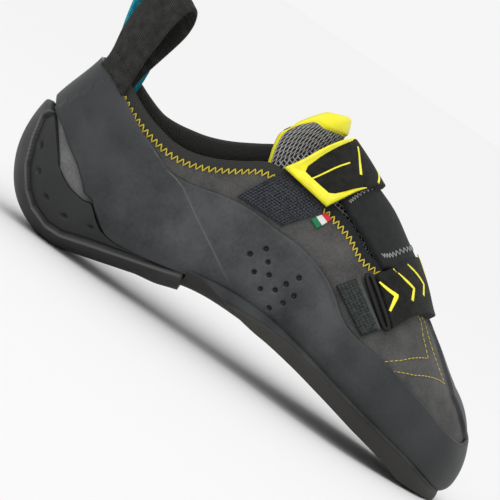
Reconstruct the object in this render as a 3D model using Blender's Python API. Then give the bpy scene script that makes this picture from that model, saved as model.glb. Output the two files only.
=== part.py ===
"""A right climbing shoe with two straps, standing on its heel and toe: every piece is a patch of one last.

Frame while modelling: X from the heel to the toe, Y to the big toe's side, Z up from the floor, in metres.
The finished shoe is moved so that its box is centred on the origin, with the floor at Z = 0.
"""

import math

import bmesh
import bpy
import numpy as np

# Driving sizes of the shoe
LENGTH = 0.255
BALL_WIDTH = 0.090
INSTEP = 0.100

# Thicknesses and widths that are set by themselves
CLEAR = 0.0004
SOLE_CLEAR = 0.0005
UPPER_WALL = 0.0020
COLLAR_LINING = 0.0032
COLLAR_BINDING = 0.0008
COLLAR_BINDING_WIDTH = 0.0050
RAND_THICK = 0.0020
HEEL_LIP = 0.0023
HEEL_END = 0.0015
SOLE_THICK = 0.0042
INSOLE_THICK = 0.0022
TONGUE_THICK = 0.0030
TONGUE_FLAP = 0.0045
PATCH_THICK = 0.0012
PANEL_THICK = 0.0029
STRAP_THICK = 0.0026
TAB_THICK = 0.0018
WEBBING_THICK = 0.0030
WIRE = 0.0022
LOOP_WIDTH = 0.024
LOOP_THICK = 0.0016
LOOP_HEIGHT = 0.046
LOOP_BULGE = 0.0022
TAG_THICK = 0.0008
LOWER_FOLD = 0.0018
LOOP_PLACE = 0.088
INSOLE_LIP = 0.08
SOLE_BACK_THICK = 0.0008
RING_LIFT = 0.0008
RING_PLAY = 0.0002

# The last's spine, one row for each cross-section. Along is a share of LENGTH, across, lateral, medial and
# draw are shares of BALL_WIDTH, and the heights are shares of INSTEP. Draw is how far the wall leans in.
SPINE_COLUMNS = ("along", "across", "lateral", "medial", "sole", "widest", "ridge", "low", "high", "draw")
SPINE = (
    (0.157, 0.000, 0.322, 0.322, 0.035, 0.30, 1.350, 2.4, 2.40, 0.050),
    (0.235, 0.000, 0.333, 0.322, 0.092, 0.32, 1.330, 2.3, 2.40, 0.050),
    (0.314, 0.000, 0.333, 0.317, 0.150, 0.36, 1.290, 2.2, 2.30, 0.045),
    (0.392, 0.000, 0.339, 0.317, 0.215, 0.40, 1.220, 2.2, 2.10, 0.030),
    (0.471, 0.000, 0.356, 0.333, 0.255, 0.42, 1.150, 2.2, 1.85, 0.010),
    (0.549, 0.006, 0.389, 0.367, 0.270, 0.42, 1.065, 2.3, 1.75, 0.000),
    (0.627, 0.011, 0.444, 0.417, 0.252, 0.39, 0.980, 2.5, 1.75, 0.000),
    (0.706, 0.011, 0.489, 0.456, 0.217, 0.35, 0.860, 2.7, 1.85, 0.000),
    (0.784, 0.022, 0.478, 0.450, 0.170, 0.31, 0.698, 2.8, 2.00, 0.000),
    (0.843, 0.056, 0.417, 0.394, 0.130, 0.28, 0.590, 2.8, 2.10, 0.000),
    (0.902, 0.100, 0.322, 0.306, 0.074, 0.25, 0.485, 2.7, 2.15, 0.000),
)
# Round the heel and the toe the sections turn about an upright line at the first and the last spine row.
# Each row: along, across, widest, low, high and draw.
HEEL_BACK = (0.0157, 0.000, 0.43, 2.1, 2.4, 0.086)
HEEL_TURN = (
    (0.033, 0.171, 0.395, 2.1, 2.4, 0.080),
    (0.0816, 0.282, 0.34, 2.2, 2.4, 0.065),
)
TOE_TURN_LATERAL = (
    (0.946, -0.117, 0.20, 2.6, 2.2, 0.0),
    (0.973, -0.017, 0.165, 2.5, 2.2, 0.0),
)
TOE_TIP = (0.990, 0.100, 0.145, 2.5, 2.2, 0.0)
TOE_TURN_MEDIAL = (
    (0.985, 0.236, 0.150, 2.5, 2.2, 0.0),
    (0.955, 0.360, 0.185, 2.6, 2.2, 0.0),
)
TOE_DROP_SOLE = -0.22
TOE_DROP_TOP = -0.50
DRAW_HEIGHT = 0.45

# Edges, as points seen from each side: along is a share of LENGTH, height a share of INSTEP.
COLLAR_LATERAL = (
    (0.055, 0.858), (0.080, 0.848), (0.108, 0.815), (0.149, 0.765), (0.196, 0.725), (0.235, 0.708),
    (0.278, 0.718), (0.322, 0.762), (0.361, 0.820), (0.392, 0.872), (0.440, 0.890), (0.490, 0.893),
    (0.533, 0.885), (0.588, 0.850), (0.633, 0.795), (0.660, 0.790),
)
COLLAR_MEDIAL = (
    (0.055, 0.858), (0.080, 0.850), (0.108, 0.828), (0.149, 0.785), (0.196, 0.752), (0.235, 0.748),
    (0.278, 0.770), (0.322, 0.820), (0.361, 0.880), (0.392, 0.930), (0.440, 0.960), (0.490, 0.965),
    (0.533, 0.955), (0.588, 0.920), (0.633, 0.870), (0.660, 0.850),
)
RAND_TOP_LATERAL = (
    (0.051, 0.838), (0.079, 0.815), (0.113, 0.763), (0.149, 0.712), (0.185, 0.666), (0.222, 0.634),
    (0.258, 0.600), (0.291, 0.601), (0.376, 0.651), (0.438, 0.665), (0.482, 0.658), (0.529, 0.656),
    (0.614, 0.584), (0.672, 0.490), (0.707, 0.468), (0.773, 0.444), (0.840, 0.396), (0.926, 0.323),
    (0.964, 0.306), (0.977, 0.323),
)
RAND_TOP_MEDIAL = (
    (0.051, 0.838), (0.079, 0.820), (0.113, 0.775), (0.149, 0.725), (0.185, 0.680), (0.222, 0.650),
    (0.258, 0.630), (0.291, 0.630), (0.376, 0.660), (0.438, 0.665), (0.529, 0.650), (0.614, 0.590),
    (0.672, 0.530), (0.720, 0.520), (0.760, 0.546), (0.800, 0.562), (0.840, 0.535), (0.890, 0.465),
    (0.926, 0.405), (0.964, 0.345), (0.977, 0.323),
)
RAND_LOW = (
    (0.026, 0.548), (0.063, 0.478), (0.120, 0.383), (0.178, 0.290), (0.201, 0.246), (0.227, 0.205),
    (0.250, 0.200), (0.290, 0.212), (0.340, 0.240), (0.378, 0.262),
)
RAND_UNDER = 0.10
UNDER_FULL = 0.55
CUP_TOP = (
    (0.022, 0.528), (0.044, 0.490), (0.078, 0.392), (0.101, 0.322), (0.129, 0.286), (0.161, 0.271),
    (0.186, 0.270), (0.197, 0.244), (0.224, 0.200),
)
HEEL_FRONT = 0.382
HEEL_BOTTOM_EDGE = 0.24
SOLE_BACK = 0.386
SOLE_FULL = 0.56
SOLE_EDGE = 0.33
UPPER_UNDER = 0.20
SOLE_FLATNESS = 0.8
SOLE_RIB = 0.014
RIB_RAMP = 0.004
CUP_GAP = 0.010
LINING_END = 0.41

# Straps and panels, from the outer side over the ridge to the inner side. Each row: side, then along and
# height of the rear edge and of the front edge. Height 0 stands for the ridge.
LATERAL, RIDGE, MEDIAL = -1, 0, 1
TOP_STRAP = (
    (LATERAL, 0.423, 0.890, 0.523, 0.848),
    (LATERAL, 0.448, 1.000, 0.545, 0.945),
    (RIDGE, 0.489, 0.0, 0.584, 0.0),
    (MEDIAL, 0.462, 0.990, 0.560, 0.920),
    (MEDIAL, 0.442, 0.825, 0.540, 0.770),
)
BRIDGE_PANEL = (
    (LATERAL, 0.547, 0.905, 0.655, 0.785),
    (LATERAL, 0.555, 0.980, 0.678, 0.830),
    (RIDGE, 0.577, 0.0, 0.696, 0.0),
    (MEDIAL, 0.566, 0.950, 0.678, 0.830),
    (MEDIAL, 0.545, 0.880, 0.660, 0.760),
)
LOWER_STRAP = (
    (LATERAL, 0.663, 0.735, 0.738, 0.578),
    (LATERAL, 0.680, 0.800, 0.762, 0.680),
    (RIDGE, 0.702, 0.0, 0.790, 0.0),
    (MEDIAL, 0.680, 0.720, 0.765, 0.640),
    (MEDIAL, 0.660, 0.580, 0.740, 0.560),
)
LOWER_WEBBING = (
    (LATERAL, 0.617, 0.600, 0.702, 0.485),
    (LATERAL, 0.642, 0.690, 0.724, 0.553),
)
CLOSURE_PATCH = (
    (LATERAL, 0.384, 0.676, 0.478, 0.682),
    (LATERAL, 0.405, 0.785, 0.508, 0.780),
    (LATERAL, 0.425, 0.878, 0.527, 0.868),
)
SIDE_TAG = (
    (LATERAL, 0.513, 0.778, 0.532, 0.758),
    (LATERAL, 0.530, 0.840, 0.545, 0.830),
)
MEDIAL_WEBBING = (
    (MEDIAL, 0.430, 0.690, 0.520, 0.672),
    (MEDIAL, 0.436, 0.760, 0.533, 0.715),
)

# The tongue's free flap above the throat, row by row upwards: along and height of the middle of its front,
# then along, across and height of its side edge.
TONGUE_FLAP_ROWS = (
    (0.4820, 1.150, 0.428, 0.185, 0.860),
    (0.4770, 1.190, 0.404, 0.188, 0.950),
    (0.4710, 1.224, 0.390, 0.240, 1.040),
    (0.4640, 1.242, 0.400, 0.205, 1.110),
    (0.4540, 1.248, 0.425, 0.120, 1.195),
)
TONGUE_FRONT = 0.662
TONGUE_TURN = 0.505
TONGUE_EDGE_HEIGHT = 0.80
TONGUE_SLOPE_FROM = 0.62
TONGUE_SLOPE_HEIGHT = 0.93
TONGUE_STEP_FROM = 0.64

COLOURS = {
    "suede": ((0.105, 0.098, 0.092), 0.95),
    "rubber": ((0.045, 0.047, 0.048), 0.55),
    "sole_rubber": ((0.050, 0.048, 0.042), 0.65),
    "mesh": ((0.17, 0.17, 0.16), 0.90),
    "webbing": ((0.022, 0.022, 0.020), 0.90),
    "fuzzy": ((0.030, 0.031, 0.033), 1.00),
    "stretch": ((0.030, 0.033, 0.035), 0.80),
    "yellow": ((0.83, 0.74, 0.02), 0.45),
    "wire": ((0.03, 0.03, 0.03), 0.35),
    "teal": ((0.00, 0.25, 0.33), 0.85),
    "board": ((0.10, 0.09, 0.08), 0.95),
    "tag": ((0.65, 0.65, 0.62), 0.85),
}


def clear_scene():
    for item in list(bpy.data.objects):
        bpy.data.objects.remove(item, do_unlink=True)


def cubic(at, xs, ys):
    """A smooth curve through the points, with each slope taken from the two neighbours."""
    xs, ys, at = np.asarray(xs, float), np.asarray(ys, float), np.asarray(at, float)
    slopes = np.gradient(ys, xs, axis=0)
    index = np.clip(np.searchsorted(xs, at, side="right") - 1, 0, len(xs) - 2)
    span = xs[index + 1] - xs[index]
    t = (at - xs[index]) / span
    return (
        ys[index] * (2 * t**3 - 3 * t**2 + 1)
        + slopes[index] * span * (t**3 - 2 * t**2 + t)
        + ys[index + 1] * (3 * t**2 - 2 * t**3)
        + slopes[index + 1] * span * (t**3 - t**2)
    )


def smooth(t):
    t = np.clip(t, 0.0, 1.0)
    return t * t * (3 - 2 * t)


SPINE_ROWS = np.array(SPINE)
SPINE_X = SPINE_ROWS[:, 0] * LENGTH
HEEL_AXIS, TOE_AXIS = SPINE_X[0], SPINE_X[-1]


def spine(column, x):
    scale = {"across": BALL_WIDTH, "sole": INSTEP, "ridge": INSTEP}[column]
    return cubic(x, SPINE_X, SPINE_ROWS[:, SPINE_COLUMNS.index(column)] * scale)


def loop_rows():
    """The last's outline as rows of x, y, base x, widest height, low, high and draw."""
    def turn(row, sign, base):
        along, across, widest, low, high, draw = row
        y = sign * across * BALL_WIDTH
        return (along * LENGTH, y, base, widest * INSTEP, low, high, draw * BALL_WIDTH)

    def side(row, sign):
        along, across, lateral, medial, _, widest, _, low, high, draw = row
        half = (across - lateral if sign < 0 else across + medial) * BALL_WIDTH
        return (along * LENGTH, half, along * LENGTH, widest * INSTEP, low, high, draw * BALL_WIDTH)

    rows = [turn(HEEL_BACK, 1, HEEL_AXIS)]
    rows += [turn(row, -1, HEEL_AXIS) for row in HEEL_TURN]
    rows += [side(row, -1) for row in SPINE]
    rows += [turn(row, 1, TOE_AXIS) for row in (*TOE_TURN_LATERAL, TOE_TIP, *TOE_TURN_MEDIAL)]
    rows += [side(row, 1) for row in reversed(SPINE)]
    rows += [turn(row, 1, HEEL_AXIS) for row in reversed(HEEL_TURN)]
    return np.array(rows)


ROWS = loop_rows()
FIRST_SIDE = 1 + len(HEEL_TURN)
TIP = FIRST_SIDE + len(SPINE) + len(TOE_TURN_LATERAL)
CLOSED = np.vstack([ROWS, ROWS[:1]])
GIRTH = np.concatenate([[0.0], np.cumsum(np.hypot(*np.diff(CLOSED[:, :2], axis=0).T))])
ROW_U = GIRTH / GIRTH[-1]
TIP_U = ROW_U[TIP]
LATERAL_U = ROW_U[FIRST_SIDE : FIRST_SIDE + len(SPINE)]
MEDIAL_U = ROW_U[TIP + 1 + len(TOE_TURN_MEDIAL) : TIP + 1 + len(TOE_TURN_MEDIAL) + len(SPINE)][::-1]
WRAP = 3
WRAPPED_U = np.concatenate([ROW_U[-1 - WRAP : -1] - 1, ROW_U, ROW_U[1 : 1 + WRAP] + 1])
WRAPPED = np.vstack([CLOSED[-1 - WRAP : -1], CLOSED, CLOSED[1 : 1 + WRAP]])


def side_u(side, x):
    """Where round the outline a cross-section at x lies."""
    return np.interp(x, SPINE_X, LATERAL_U if side < 0 else MEDIAL_U)


def last_point(u, v):
    """The last's surface: u goes once round the outline, v from the sole's middle to the ridge."""
    u, v = np.broadcast_arrays(np.mod(np.asarray(u, float), 1.0), np.asarray(v, float))
    out_x, out_y, _, widest, low, high, draw = [cubic(u, WRAPPED_U, WRAPPED[:, k]) for k in range(7)]
    base_x = np.interp(u, WRAPPED_U, WRAPPED[:, 2])
    base_y, sole, ridge = (spine(name, base_x) for name in ("across", "sole", "ridge"))
    toe = np.maximum(out_x - TOE_AXIS, 0.0)
    drop = TOE_DROP_SOLE + (TOE_DROP_TOP - TOE_DROP_SOLE) * smooth(v)
    middle_drop = (TOE_DROP_SOLE + TOE_DROP_TOP) / 2
    widest = widest - middle_drop * toe
    angle = np.abs(v - 0.5) * math.pi
    power = np.where(v < 0.5, low, high)
    reach = np.maximum(np.cos(angle), 0.0) ** (2 / power)
    rise = np.sin(angle) ** (2 / power)
    z = np.where(v < 0.5, widest - (widest - sole) * rise, widest + (ridge - widest) * rise)
    span = np.hypot(out_x - base_x, out_y - base_y)
    lean = draw * smooth((z - widest) / (DRAW_HEIGHT * INSTEP)) * (v > 0.5)
    reach = reach * (1 - np.minimum(lean / np.maximum(span, 1e-6), 0.9))
    x = base_x + (out_x - base_x) * reach
    y = base_y + (out_y - base_y) * reach
    z = z + drop * np.maximum(x - TOE_AXIS, 0.0)
    return np.stack([x, y, z], axis=-1)


def last_normal(u, v):
    """The surface's outward direction. On the ridge and along the sole's middle both sides share one."""
    u, v = np.broadcast_arrays(np.asarray(u, float), np.asarray(v, float))
    du, dv = 4e-4, 3e-3
    low_v, high_v = np.clip(v - dv, 0.004, 0.99), np.clip(v + dv, 0.01, 0.996)
    inner_v = np.clip(v, 0.02, 0.98)
    along = last_point(u + du, inner_v) - last_point(u - du, inner_v)
    up = last_point(u, high_v) - last_point(u, low_v)
    normal = np.cross(along, up)
    normal /= np.maximum(np.linalg.norm(normal, axis=-1, keepdims=True), 1e-12)
    base_x = np.interp(np.mod(u, 1.0), WRAPPED_U, WRAPPED[:, 2])
    step = 0.001
    x0, x1 = np.clip(base_x - step, HEEL_AXIS, TOE_AXIS), np.clip(base_x + step, HEEL_AXIS, TOE_AXIS)
    for name, end, sign in (("ridge", v > 0.9995, 1.0), ("sole", v < 0.0005, -1.0)):
        slope = (spine(name, x1) - spine(name, x0)) / (x1 - x0)
        flat = np.stack([-slope * sign, np.zeros_like(slope), np.full_like(slope, sign)], axis=-1)
        flat /= np.linalg.norm(flat, axis=-1, keepdims=True)
        normal = np.where(end[..., None], flat, normal)
    return normal


def skin(u, v, offset):
    return last_point(u, v) + last_normal(u, v) * np.asarray(offset, float)[..., None]


REAR_TURN, TOE_TURN = 9, 9
REAR_SECTIONS, FRONT_SECTIONS = 7, 12
THROAT_SECTION = 7
LOWER_LINES, UPPER_LINES = 9, 9
V_TABLE = np.linspace(0.26, 1.0, 150)


def v_at_height(u, z):
    heights = last_point(u, V_TABLE)[:, 2]
    return float(np.interp(z, heights, V_TABLE))


def locate(side, x, z):
    """The u and v of the surface point seen at x and z from one side."""
    ends = (0.0, TIP_U) if side < 0 else (1.0, TIP_U)
    near, far = ends
    for _ in range(26):
        u = (near + far) / 2
        if last_point(u, v_at_height(u, z))[0] < x:
            near = u
        else:
            far = u
    return u, v_at_height(u, z)


def side_edge(side, rows):
    """An edge's v as a function of u, from points seen from one side."""
    spots = sorted(locate(side, along * LENGTH, height * INSTEP) for along, height in rows)
    return np.array(spots)


def round_edge(lateral_rows, medial_rows):
    """An edge all round the shoe. Both sides share the heel's back and the toe's tip."""
    lateral, medial = side_edge(LATERAL, lateral_rows), side_edge(MEDIAL, medial_rows)
    spots = np.vstack([lateral, medial])
    spots = spots[np.argsort(spots[:, 0])]
    spots = np.vstack([[spots[-1, 0] - 1, spots[-1, 1]], spots, [spots[0, 0] + 1, spots[0, 1]]])
    return lambda u: np.interp(np.mod(u, 1.0), spots[:, 0], spots[:, 1])


def material(name):
    made = bpy.data.materials.get(name)
    if made:
        return made
    colour, roughness = COLOURS[name]
    made = bpy.data.materials.new(name)
    made.use_nodes = True
    shader = made.node_tree.nodes["Principled BSDF"]
    shader.inputs["Base Color"].default_value = (*colour, 1.0)
    shader.inputs["Roughness"].default_value = roughness
    made.diffuse_color = (*colour, 1.0)
    return made


def add_piece(name, points, faces, material_name):
    """A closed piece from points and faces. Points that coincide are joined."""
    mesh = bpy.data.meshes.new(name)
    mesh.from_pydata([tuple(p) for p in points], [], faces)
    work = bmesh.new()
    work.from_mesh(mesh)
    bmesh.ops.remove_doubles(work, verts=work.verts, dist=1e-6)
    bmesh.ops.dissolve_degenerate(work, dist=1e-6, edges=work.edges)
    bmesh.ops.triangulate(work, faces=[face for face in work.faces if len(face.verts) > 3])
    bmesh.ops.recalc_face_normals(work, faces=work.faces)
    work.to_mesh(mesh)
    work.free()
    mesh.shade_smooth()
    mesh.set_sharp_from_angle(angle=math.radians(35))
    mesh.materials.append(material(material_name))
    piece = bpy.data.objects.new(name, mesh)
    bpy.context.scene.collection.objects.link(piece)
    return piece


def shell_faces(rows, columns, closed, open_low, open_top):
    """Triangles of an outer and an inner sheet of points, joined at every edge but the ones that are zipped.

    The diagonals run the same way in every piece, so that pieces laid over each other keep their clearance.
    """
    def outer(i, j):
        return (i % rows) * columns + j

    def inner(i, j):
        return rows * columns + outer(i, j)

    faces = []

    def quad(a, b, c, d):
        faces.extend(((a, b, c), (a, c, d)))

    end = columns - 1
    for i in range(rows if closed else rows - 1):
        for j in range(end):
            a, b, c, d = outer(i, j), outer(i + 1, j), outer(i + 1, j + 1), outer(i, j + 1)
            shift = rows * columns
            quad(a, b, c, d)
            faces.extend(((c + shift, b + shift, a + shift), (d + shift, c + shift, a + shift)))
        following = (i + 1) % rows
        if open_low[i] or open_low[following]:
            quad(inner(i, 0), inner(i + 1, 0), outer(i + 1, 0), outer(i, 0))
        if open_top[i] or open_top[following]:
            quad(outer(i, end), outer(i + 1, end), inner(i + 1, end), inner(i, end))
    if not closed:
        last = rows - 1
        for j in range(end):
            quad(outer(0, j), outer(0, j + 1), inner(0, j + 1), inner(0, j))
            quad(inner(last, j), inner(last, j + 1), outer(last, j + 1), outer(last, j))
    return faces


def spread(u, low, top, marks):
    """The v values of one section's points: the last's own lines between two edges, and marked places.

    A mark is a v value, or below zero a distance along the surface from the top edge.
    """
    fine = np.concatenate([np.linspace(0, 0.5, 60), np.linspace(0.5, 1, 60)[1:]])
    steps = np.linalg.norm(np.diff(last_point(u, fine), axis=0), axis=1)
    run = np.concatenate([[0.0], np.cumsum(steps)])
    half = np.interp(0.5, fine, run)
    lines = np.concatenate([
        np.linspace(0, half, LOWER_LINES + 1),
        np.linspace(half, run[-1], UPPER_LINES + 1)[1:],
    ])
    top_run = np.interp(top, fine, run)
    low_run = np.interp(low, fine, run)
    extra = [mark if mark > 0 else np.interp(top_run + mark, run, fine) for mark in marks]
    v = np.sort(np.clip(np.concatenate([np.interp(lines, run, fine), extra]), low, top))
    v[0], v[-1] = low, top
    here = np.interp(v, fine, run)
    return v, here - low_run, top_run - here


def band(name, material_name, us, low, top, outside, inside, marks=(), closed=True, shape=None, lines=None):
    """A piece between two distances from the last, over part of its surface.

    Outside and inside give the distance from u, v, and the way along the surface from the two edges.
    Lines takes the place of the last's own lines where a piece has a step that runs along it.
    """
    if lines:
        vs = np.array([lines(u) for u in us])
        below = above = np.zeros_like(vs)
    else:
        spreads = [spread(u, first, final, marks) for u, first, final in zip(us, low, top, strict=True)]
        vs, below, above = (np.array([one[k] for one in spreads]) for k in range(3))
    count = vs.shape[1]
    grid_u = np.repeat(np.asarray(us)[:, None], count, axis=1)
    out = skin(grid_u, vs, outside(grid_u, vs, below, above) + 0 * vs)
    inn = skin(grid_u, vs, inside(grid_u, vs, below, above) + 0 * vs)
    if shape:
        out, inn = shape(out, inn, grid_u, vs)
    points = np.vstack([out.reshape(-1, 3), inn.reshape(-1, 3)])
    zipped_low = [v < 0.0005 for v in low]
    zipped_top = [v > 0.9995 for v in top]
    faces = shell_faces(len(us), count, closed, [not z for z in zipped_low], [not z for z in zipped_top])
    return add_piece(name, points, faces, material_name)


def constant(distance):
    return lambda u, v, below, above: distance


def stations(side, xs):
    return [float(side_u(side, x)) for x in xs]


def heel_stations(count):
    """Sections round the heel, from the inner side to the outer side, without the two at the heel's line."""
    start, end = MEDIAL_U[0] - 1.0, LATERAL_U[0]
    return list(np.linspace(start, end, count + 2)[1:-1])


def toe_stations(count):
    return list(np.linspace(LATERAL_U[-1], MEDIAL_U[-1], count + 2)[1:-1])


def all_round(xs, heel_count, toe_count):
    """Sections once round the shoe, from the outer side's heel line over the toe and back round the heel."""
    toe, heel = toe_stations(toe_count), heel_stations(heel_count)
    return stations(LATERAL, xs) + toe + stations(MEDIAL, xs[::-1]) + heel


def every_section():
    return all_round(np.concatenate([rear_x(), front_x()]), REAR_TURN, TOE_TURN)


def base_of(u):
    return float(np.interp(u % 1.0, WRAPPED_U, WRAPPED[:, 2]))


def make_upper(collar, rand_top):
    """The hollow upper, with a thicker bound edge round the collar and a turned-under edge at the sole."""
    throat = front_x()[THROAT_SECTION]
    us = every_section()
    top = [1.0 if base_of(u) > throat - 1e-6 else float(collar(u)) for u in us]
    low = [UPPER_UNDER] * len(us)
    high_on_side = 0.75

    def at_collar(u, above):
        x = last_point(u, high_on_side)[..., 0]
        return (above < COLLAR_BINDING_WIDTH + 1e-5) * (x < LINING_END * LENGTH)

    def outside(u, v, below, above):
        return COLLAR_BINDING * at_collar(u, above) * (v > rand_top(u) + 0.02)

    def inside(u, v, below, above):
        return -UPPER_WALL - (COLLAR_LINING - UPPER_WALL) * at_collar(u, above)

    marks = (-COLLAR_BINDING_WIDTH, -COLLAR_BINDING_WIDTH - 0.0004)
    return band("upper", "suede", us, low, top, outside, inside, marks)


def rear_x():
    """Cross-sections of the heel's rubber, which the rand shares."""
    return np.linspace(HEEL_AXIS, HEEL_FRONT * LENGTH, REAR_SECTIONS)


def front_x():
    """Cross-sections of the half sole, which the rand shares."""
    return np.linspace(SOLE_BACK * LENGTH, TOE_AXIS, FRONT_SECTIONS)


def make_rand(rand_top, rand_low):
    us = every_section()
    return band(
        "rand", "rubber", us, [float(rand_low(u)) for u in us], [float(rand_top(u)) for u in us],
        constant(CLEAR + RAND_THICK), constant(CLEAR),
    )


def rand_low_edge():
    """The rand's lower edge: it rises over the heel's side, and turns under the sole in front of it."""
    rear = {side: side_edge(side, RAND_LOW) for side in (LATERAL, MEDIAL)}
    line = {}
    for side in (LATERAL, MEDIAL):
        level = side_edge(side, [RAND_LOW[-1]])[0, 1]
        joint, ahead = side_u(side, SOLE_BACK * LENGTH), side_u(side, UNDER_FULL * LENGTH)
        line[side] = np.vstack([rear[side], [[joint, level], [ahead, RAND_UNDER]]])
    spots = np.vstack([line[LATERAL], line[MEDIAL]])
    spots = spots[np.argsort(spots[:, 0])]
    spots = np.vstack([[spots[-1, 0] - 1, spots[-1, 1]], spots, [spots[0, 0] + 1, spots[0, 1]]])
    return lambda u: np.interp(np.mod(u, 1.0), spots[:, 0], spots[:, 1])


def floor_level(points):
    points = points.copy()
    points[..., 2] = np.maximum(points[..., 2], 0.0)
    return points


def make_heel_cup(rand_low):
    """The heel's rubber: thin panels at the sides, and a thicker lip round the back and underneath."""
    cup = round_edge(CUP_TOP, CUP_TOP)
    us = stations(MEDIAL, rear_x()[::-1])
    us = [u - 1.0 for u in us] + heel_stations(REAR_TURN) + stations(LATERAL, rear_x())
    beyond = CUP_TOP[-1][0] * LENGTH
    top = []
    for u in us:
        limit = float(rand_low(u)) - CUP_GAP
        top.append(min(limit, float(cup(u))) if base_of(u) < beyond else limit)
    low = [0.0] * len(us)

    def outside(u, v, below, above):
        base = np.interp(np.mod(u, 1.0), WRAPPED_U, WRAPPED[:, 2])
        lip = HEEL_LIP * (1 - smooth((v - HEEL_BOTTOM_EDGE) / 0.03))
        back = last_point(u, 0.5)
        near_back = 1 - smooth((np.abs(back[..., 1]) / BALL_WIDTH - 0.17) / 0.04)
        lip = np.maximum(lip, HEEL_LIP * near_back * (back[..., 0] < HEEL_AXIS))
        end = HEEL_END * smooth((base - 0.30 * LENGTH) / (0.05 * LENGTH)) * (v < HEEL_BOTTOM_EDGE)
        return CLEAR + RAND_THICK + lip + end

    def shape(out, inn, u, v):
        return floor_level(out), inn

    marks = (HEEL_BOTTOM_EDGE, HEEL_BOTTOM_EDGE + 0.02)
    inside = constant(SOLE_CLEAR)
    return band("heel_cup", "rubber", us, low, top, outside, inside, marks, closed=False, shape=shape)


def make_outsole(rand_low):
    """The half sole, from under the arch to the toe, with an upright edge and a flat spot under the toe."""
    back = SOLE_BACK * LENGTH
    us = stations(LATERAL, front_x()) + toe_stations(TOE_TURN) + stations(MEDIAL, front_x()[::-1])
    low, top = [0.0] * len(us), [SOLE_EDGE] * len(us)

    def rib(u):
        return rand_low(u) - SOLE_RIB

    def inside(u, v, below, above):
        return CLEAR + (RAND_THICK + SOLE_CLEAR) * smooth((v - rib(u)) / RIB_RAMP)

    def shape(out, inn, u, v):
        base = np.interp(np.mod(u, 1.0), WRAPPED_U, WRAPPED[:, 2])
        over_rand = CLEAR + RAND_THICK + SOLE_CLEAR
        full = smooth((base - back) / ((SOLE_FULL - SOLE_BACK) * LENGTH))
        thick = SOLE_BACK_THICK + (SOLE_THICK - SOLE_BACK_THICK) * full
        level = skin(u, np.clip(v, RAND_UNDER, 1), np.full_like(v, over_rand))
        middle = skin(u, np.zeros_like(v), np.full_like(v, over_rand))[..., 2] - thick
        edge_drop = np.clip(level[..., 2] - thick - middle, 0, None)
        under = inn.copy()
        seat = np.where(v < rib(u) + 0.002, RAND_THICK + SOLE_CLEAR, 0.0)
        under[..., 2] = inn[..., 2] - seat - thick - SOLE_FLATNESS * edge_drop * smooth(v / SOLE_EDGE) * full
        return floor_level(under), inn

    def lines(u):
        step = float(rib(u))
        return np.concatenate([np.linspace(0, step, 6), np.linspace(step + RIB_RAMP, SOLE_EDGE, 6)])

    return band(
        "outsole", "sole_rubber", us, low, top, constant(0.0), inside, closed=False, shape=shape, lines=lines
    )


def make_insole():
    """The insole board: it fills the opening under the upper and laps over the upper's turned-under edge."""
    us = every_section()
    low, top = [0.0] * len(us), [UPPER_UNDER + INSOLE_LIP] * len(us)
    edge = UPPER_UNDER - SOLE_RIB

    def outside(u, v, below, above):
        return -CLEAR - (UPPER_WALL + CLEAR / 2) * smooth((v - edge) / RIB_RAMP)

    def inside(u, v, below, above):
        return -(UPPER_WALL + 2 * CLEAR + INSOLE_THICK) + 0 * v

    def lines(u):
        return np.array([0.0, edge / 3, edge * 2 / 3, edge, edge + RIB_RAMP, UPPER_UNDER + INSOLE_LIP])

    return band("insole", "board", us, low, top, outside, inside, lines=lines)


def strap_corners(rows):
    """Each row's rear and front place: the section's x and the way over the shoe from -1 through 0 to 1."""
    corners = []
    for side, rear_x, rear_z, front_x, front_z in rows:
        for along, height in ((rear_x, rear_z), (front_x, front_z)):
            if side == RIDGE:
                corners.append((along * LENGTH, 0.0))
            else:
                u, v = locate(side, along * LENGTH, height * INSTEP)
                corners.append((base_of(u), side * (1 - v)))
    return np.array(corners).reshape(len(rows), 4)


class Sash:
    """A strap's field over the last: a runs along it from the outer side, c across it from the rear edge."""

    def __init__(self, rows):
        self.table = strap_corners(rows)

    def place(self, a, c):
        rows = np.arange(len(self.table))
        a, c = np.broadcast_arrays(np.asarray(a, float), np.asarray(c, float))
        curve = cubic if len(rows) > 2 else np.interp
        rear_x, rear_s, front_x, front_s = (
            curve(a * rows[-1], rows, self.table[:, k]) for k in range(4)
        )
        base = rear_x * (1 - c) + front_x * c
        ring = rear_s * (1 - c) + front_s * c
        return np.where(ring < 0, side_u(LATERAL, base), side_u(MEDIAL, base)), 1 - np.abs(ring)

    def skin(self, a, c, offset):
        u, v = self.place(a, c)
        return skin(u, v, offset + 0 * v)


def sheet(name, material_name, out, inn):
    """A closed piece between two grids of points."""
    steps, columns = out.shape[:2]
    points = np.vstack([out.reshape(-1, 3), inn.reshape(-1, 3)])
    edges = [True] * steps
    return add_piece(name, points, shell_faces(steps, columns, False, edges, edges), material_name)


def make_sash(name, material_name, rows, steps, columns, outside, inside):
    field = Sash(rows)
    a, c = np.linspace(0, 1, steps)[:, None], np.linspace(0, 1, columns)
    sheet(name, material_name, field.skin(a, c, outside(a)), field.skin(a, c, inside(a)))
    return field


def bump(a):
    """0 at a strap's two ends and 1 over the foot."""
    return smooth(a / 0.22) * smooth((1 - a) / 0.22)


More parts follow.
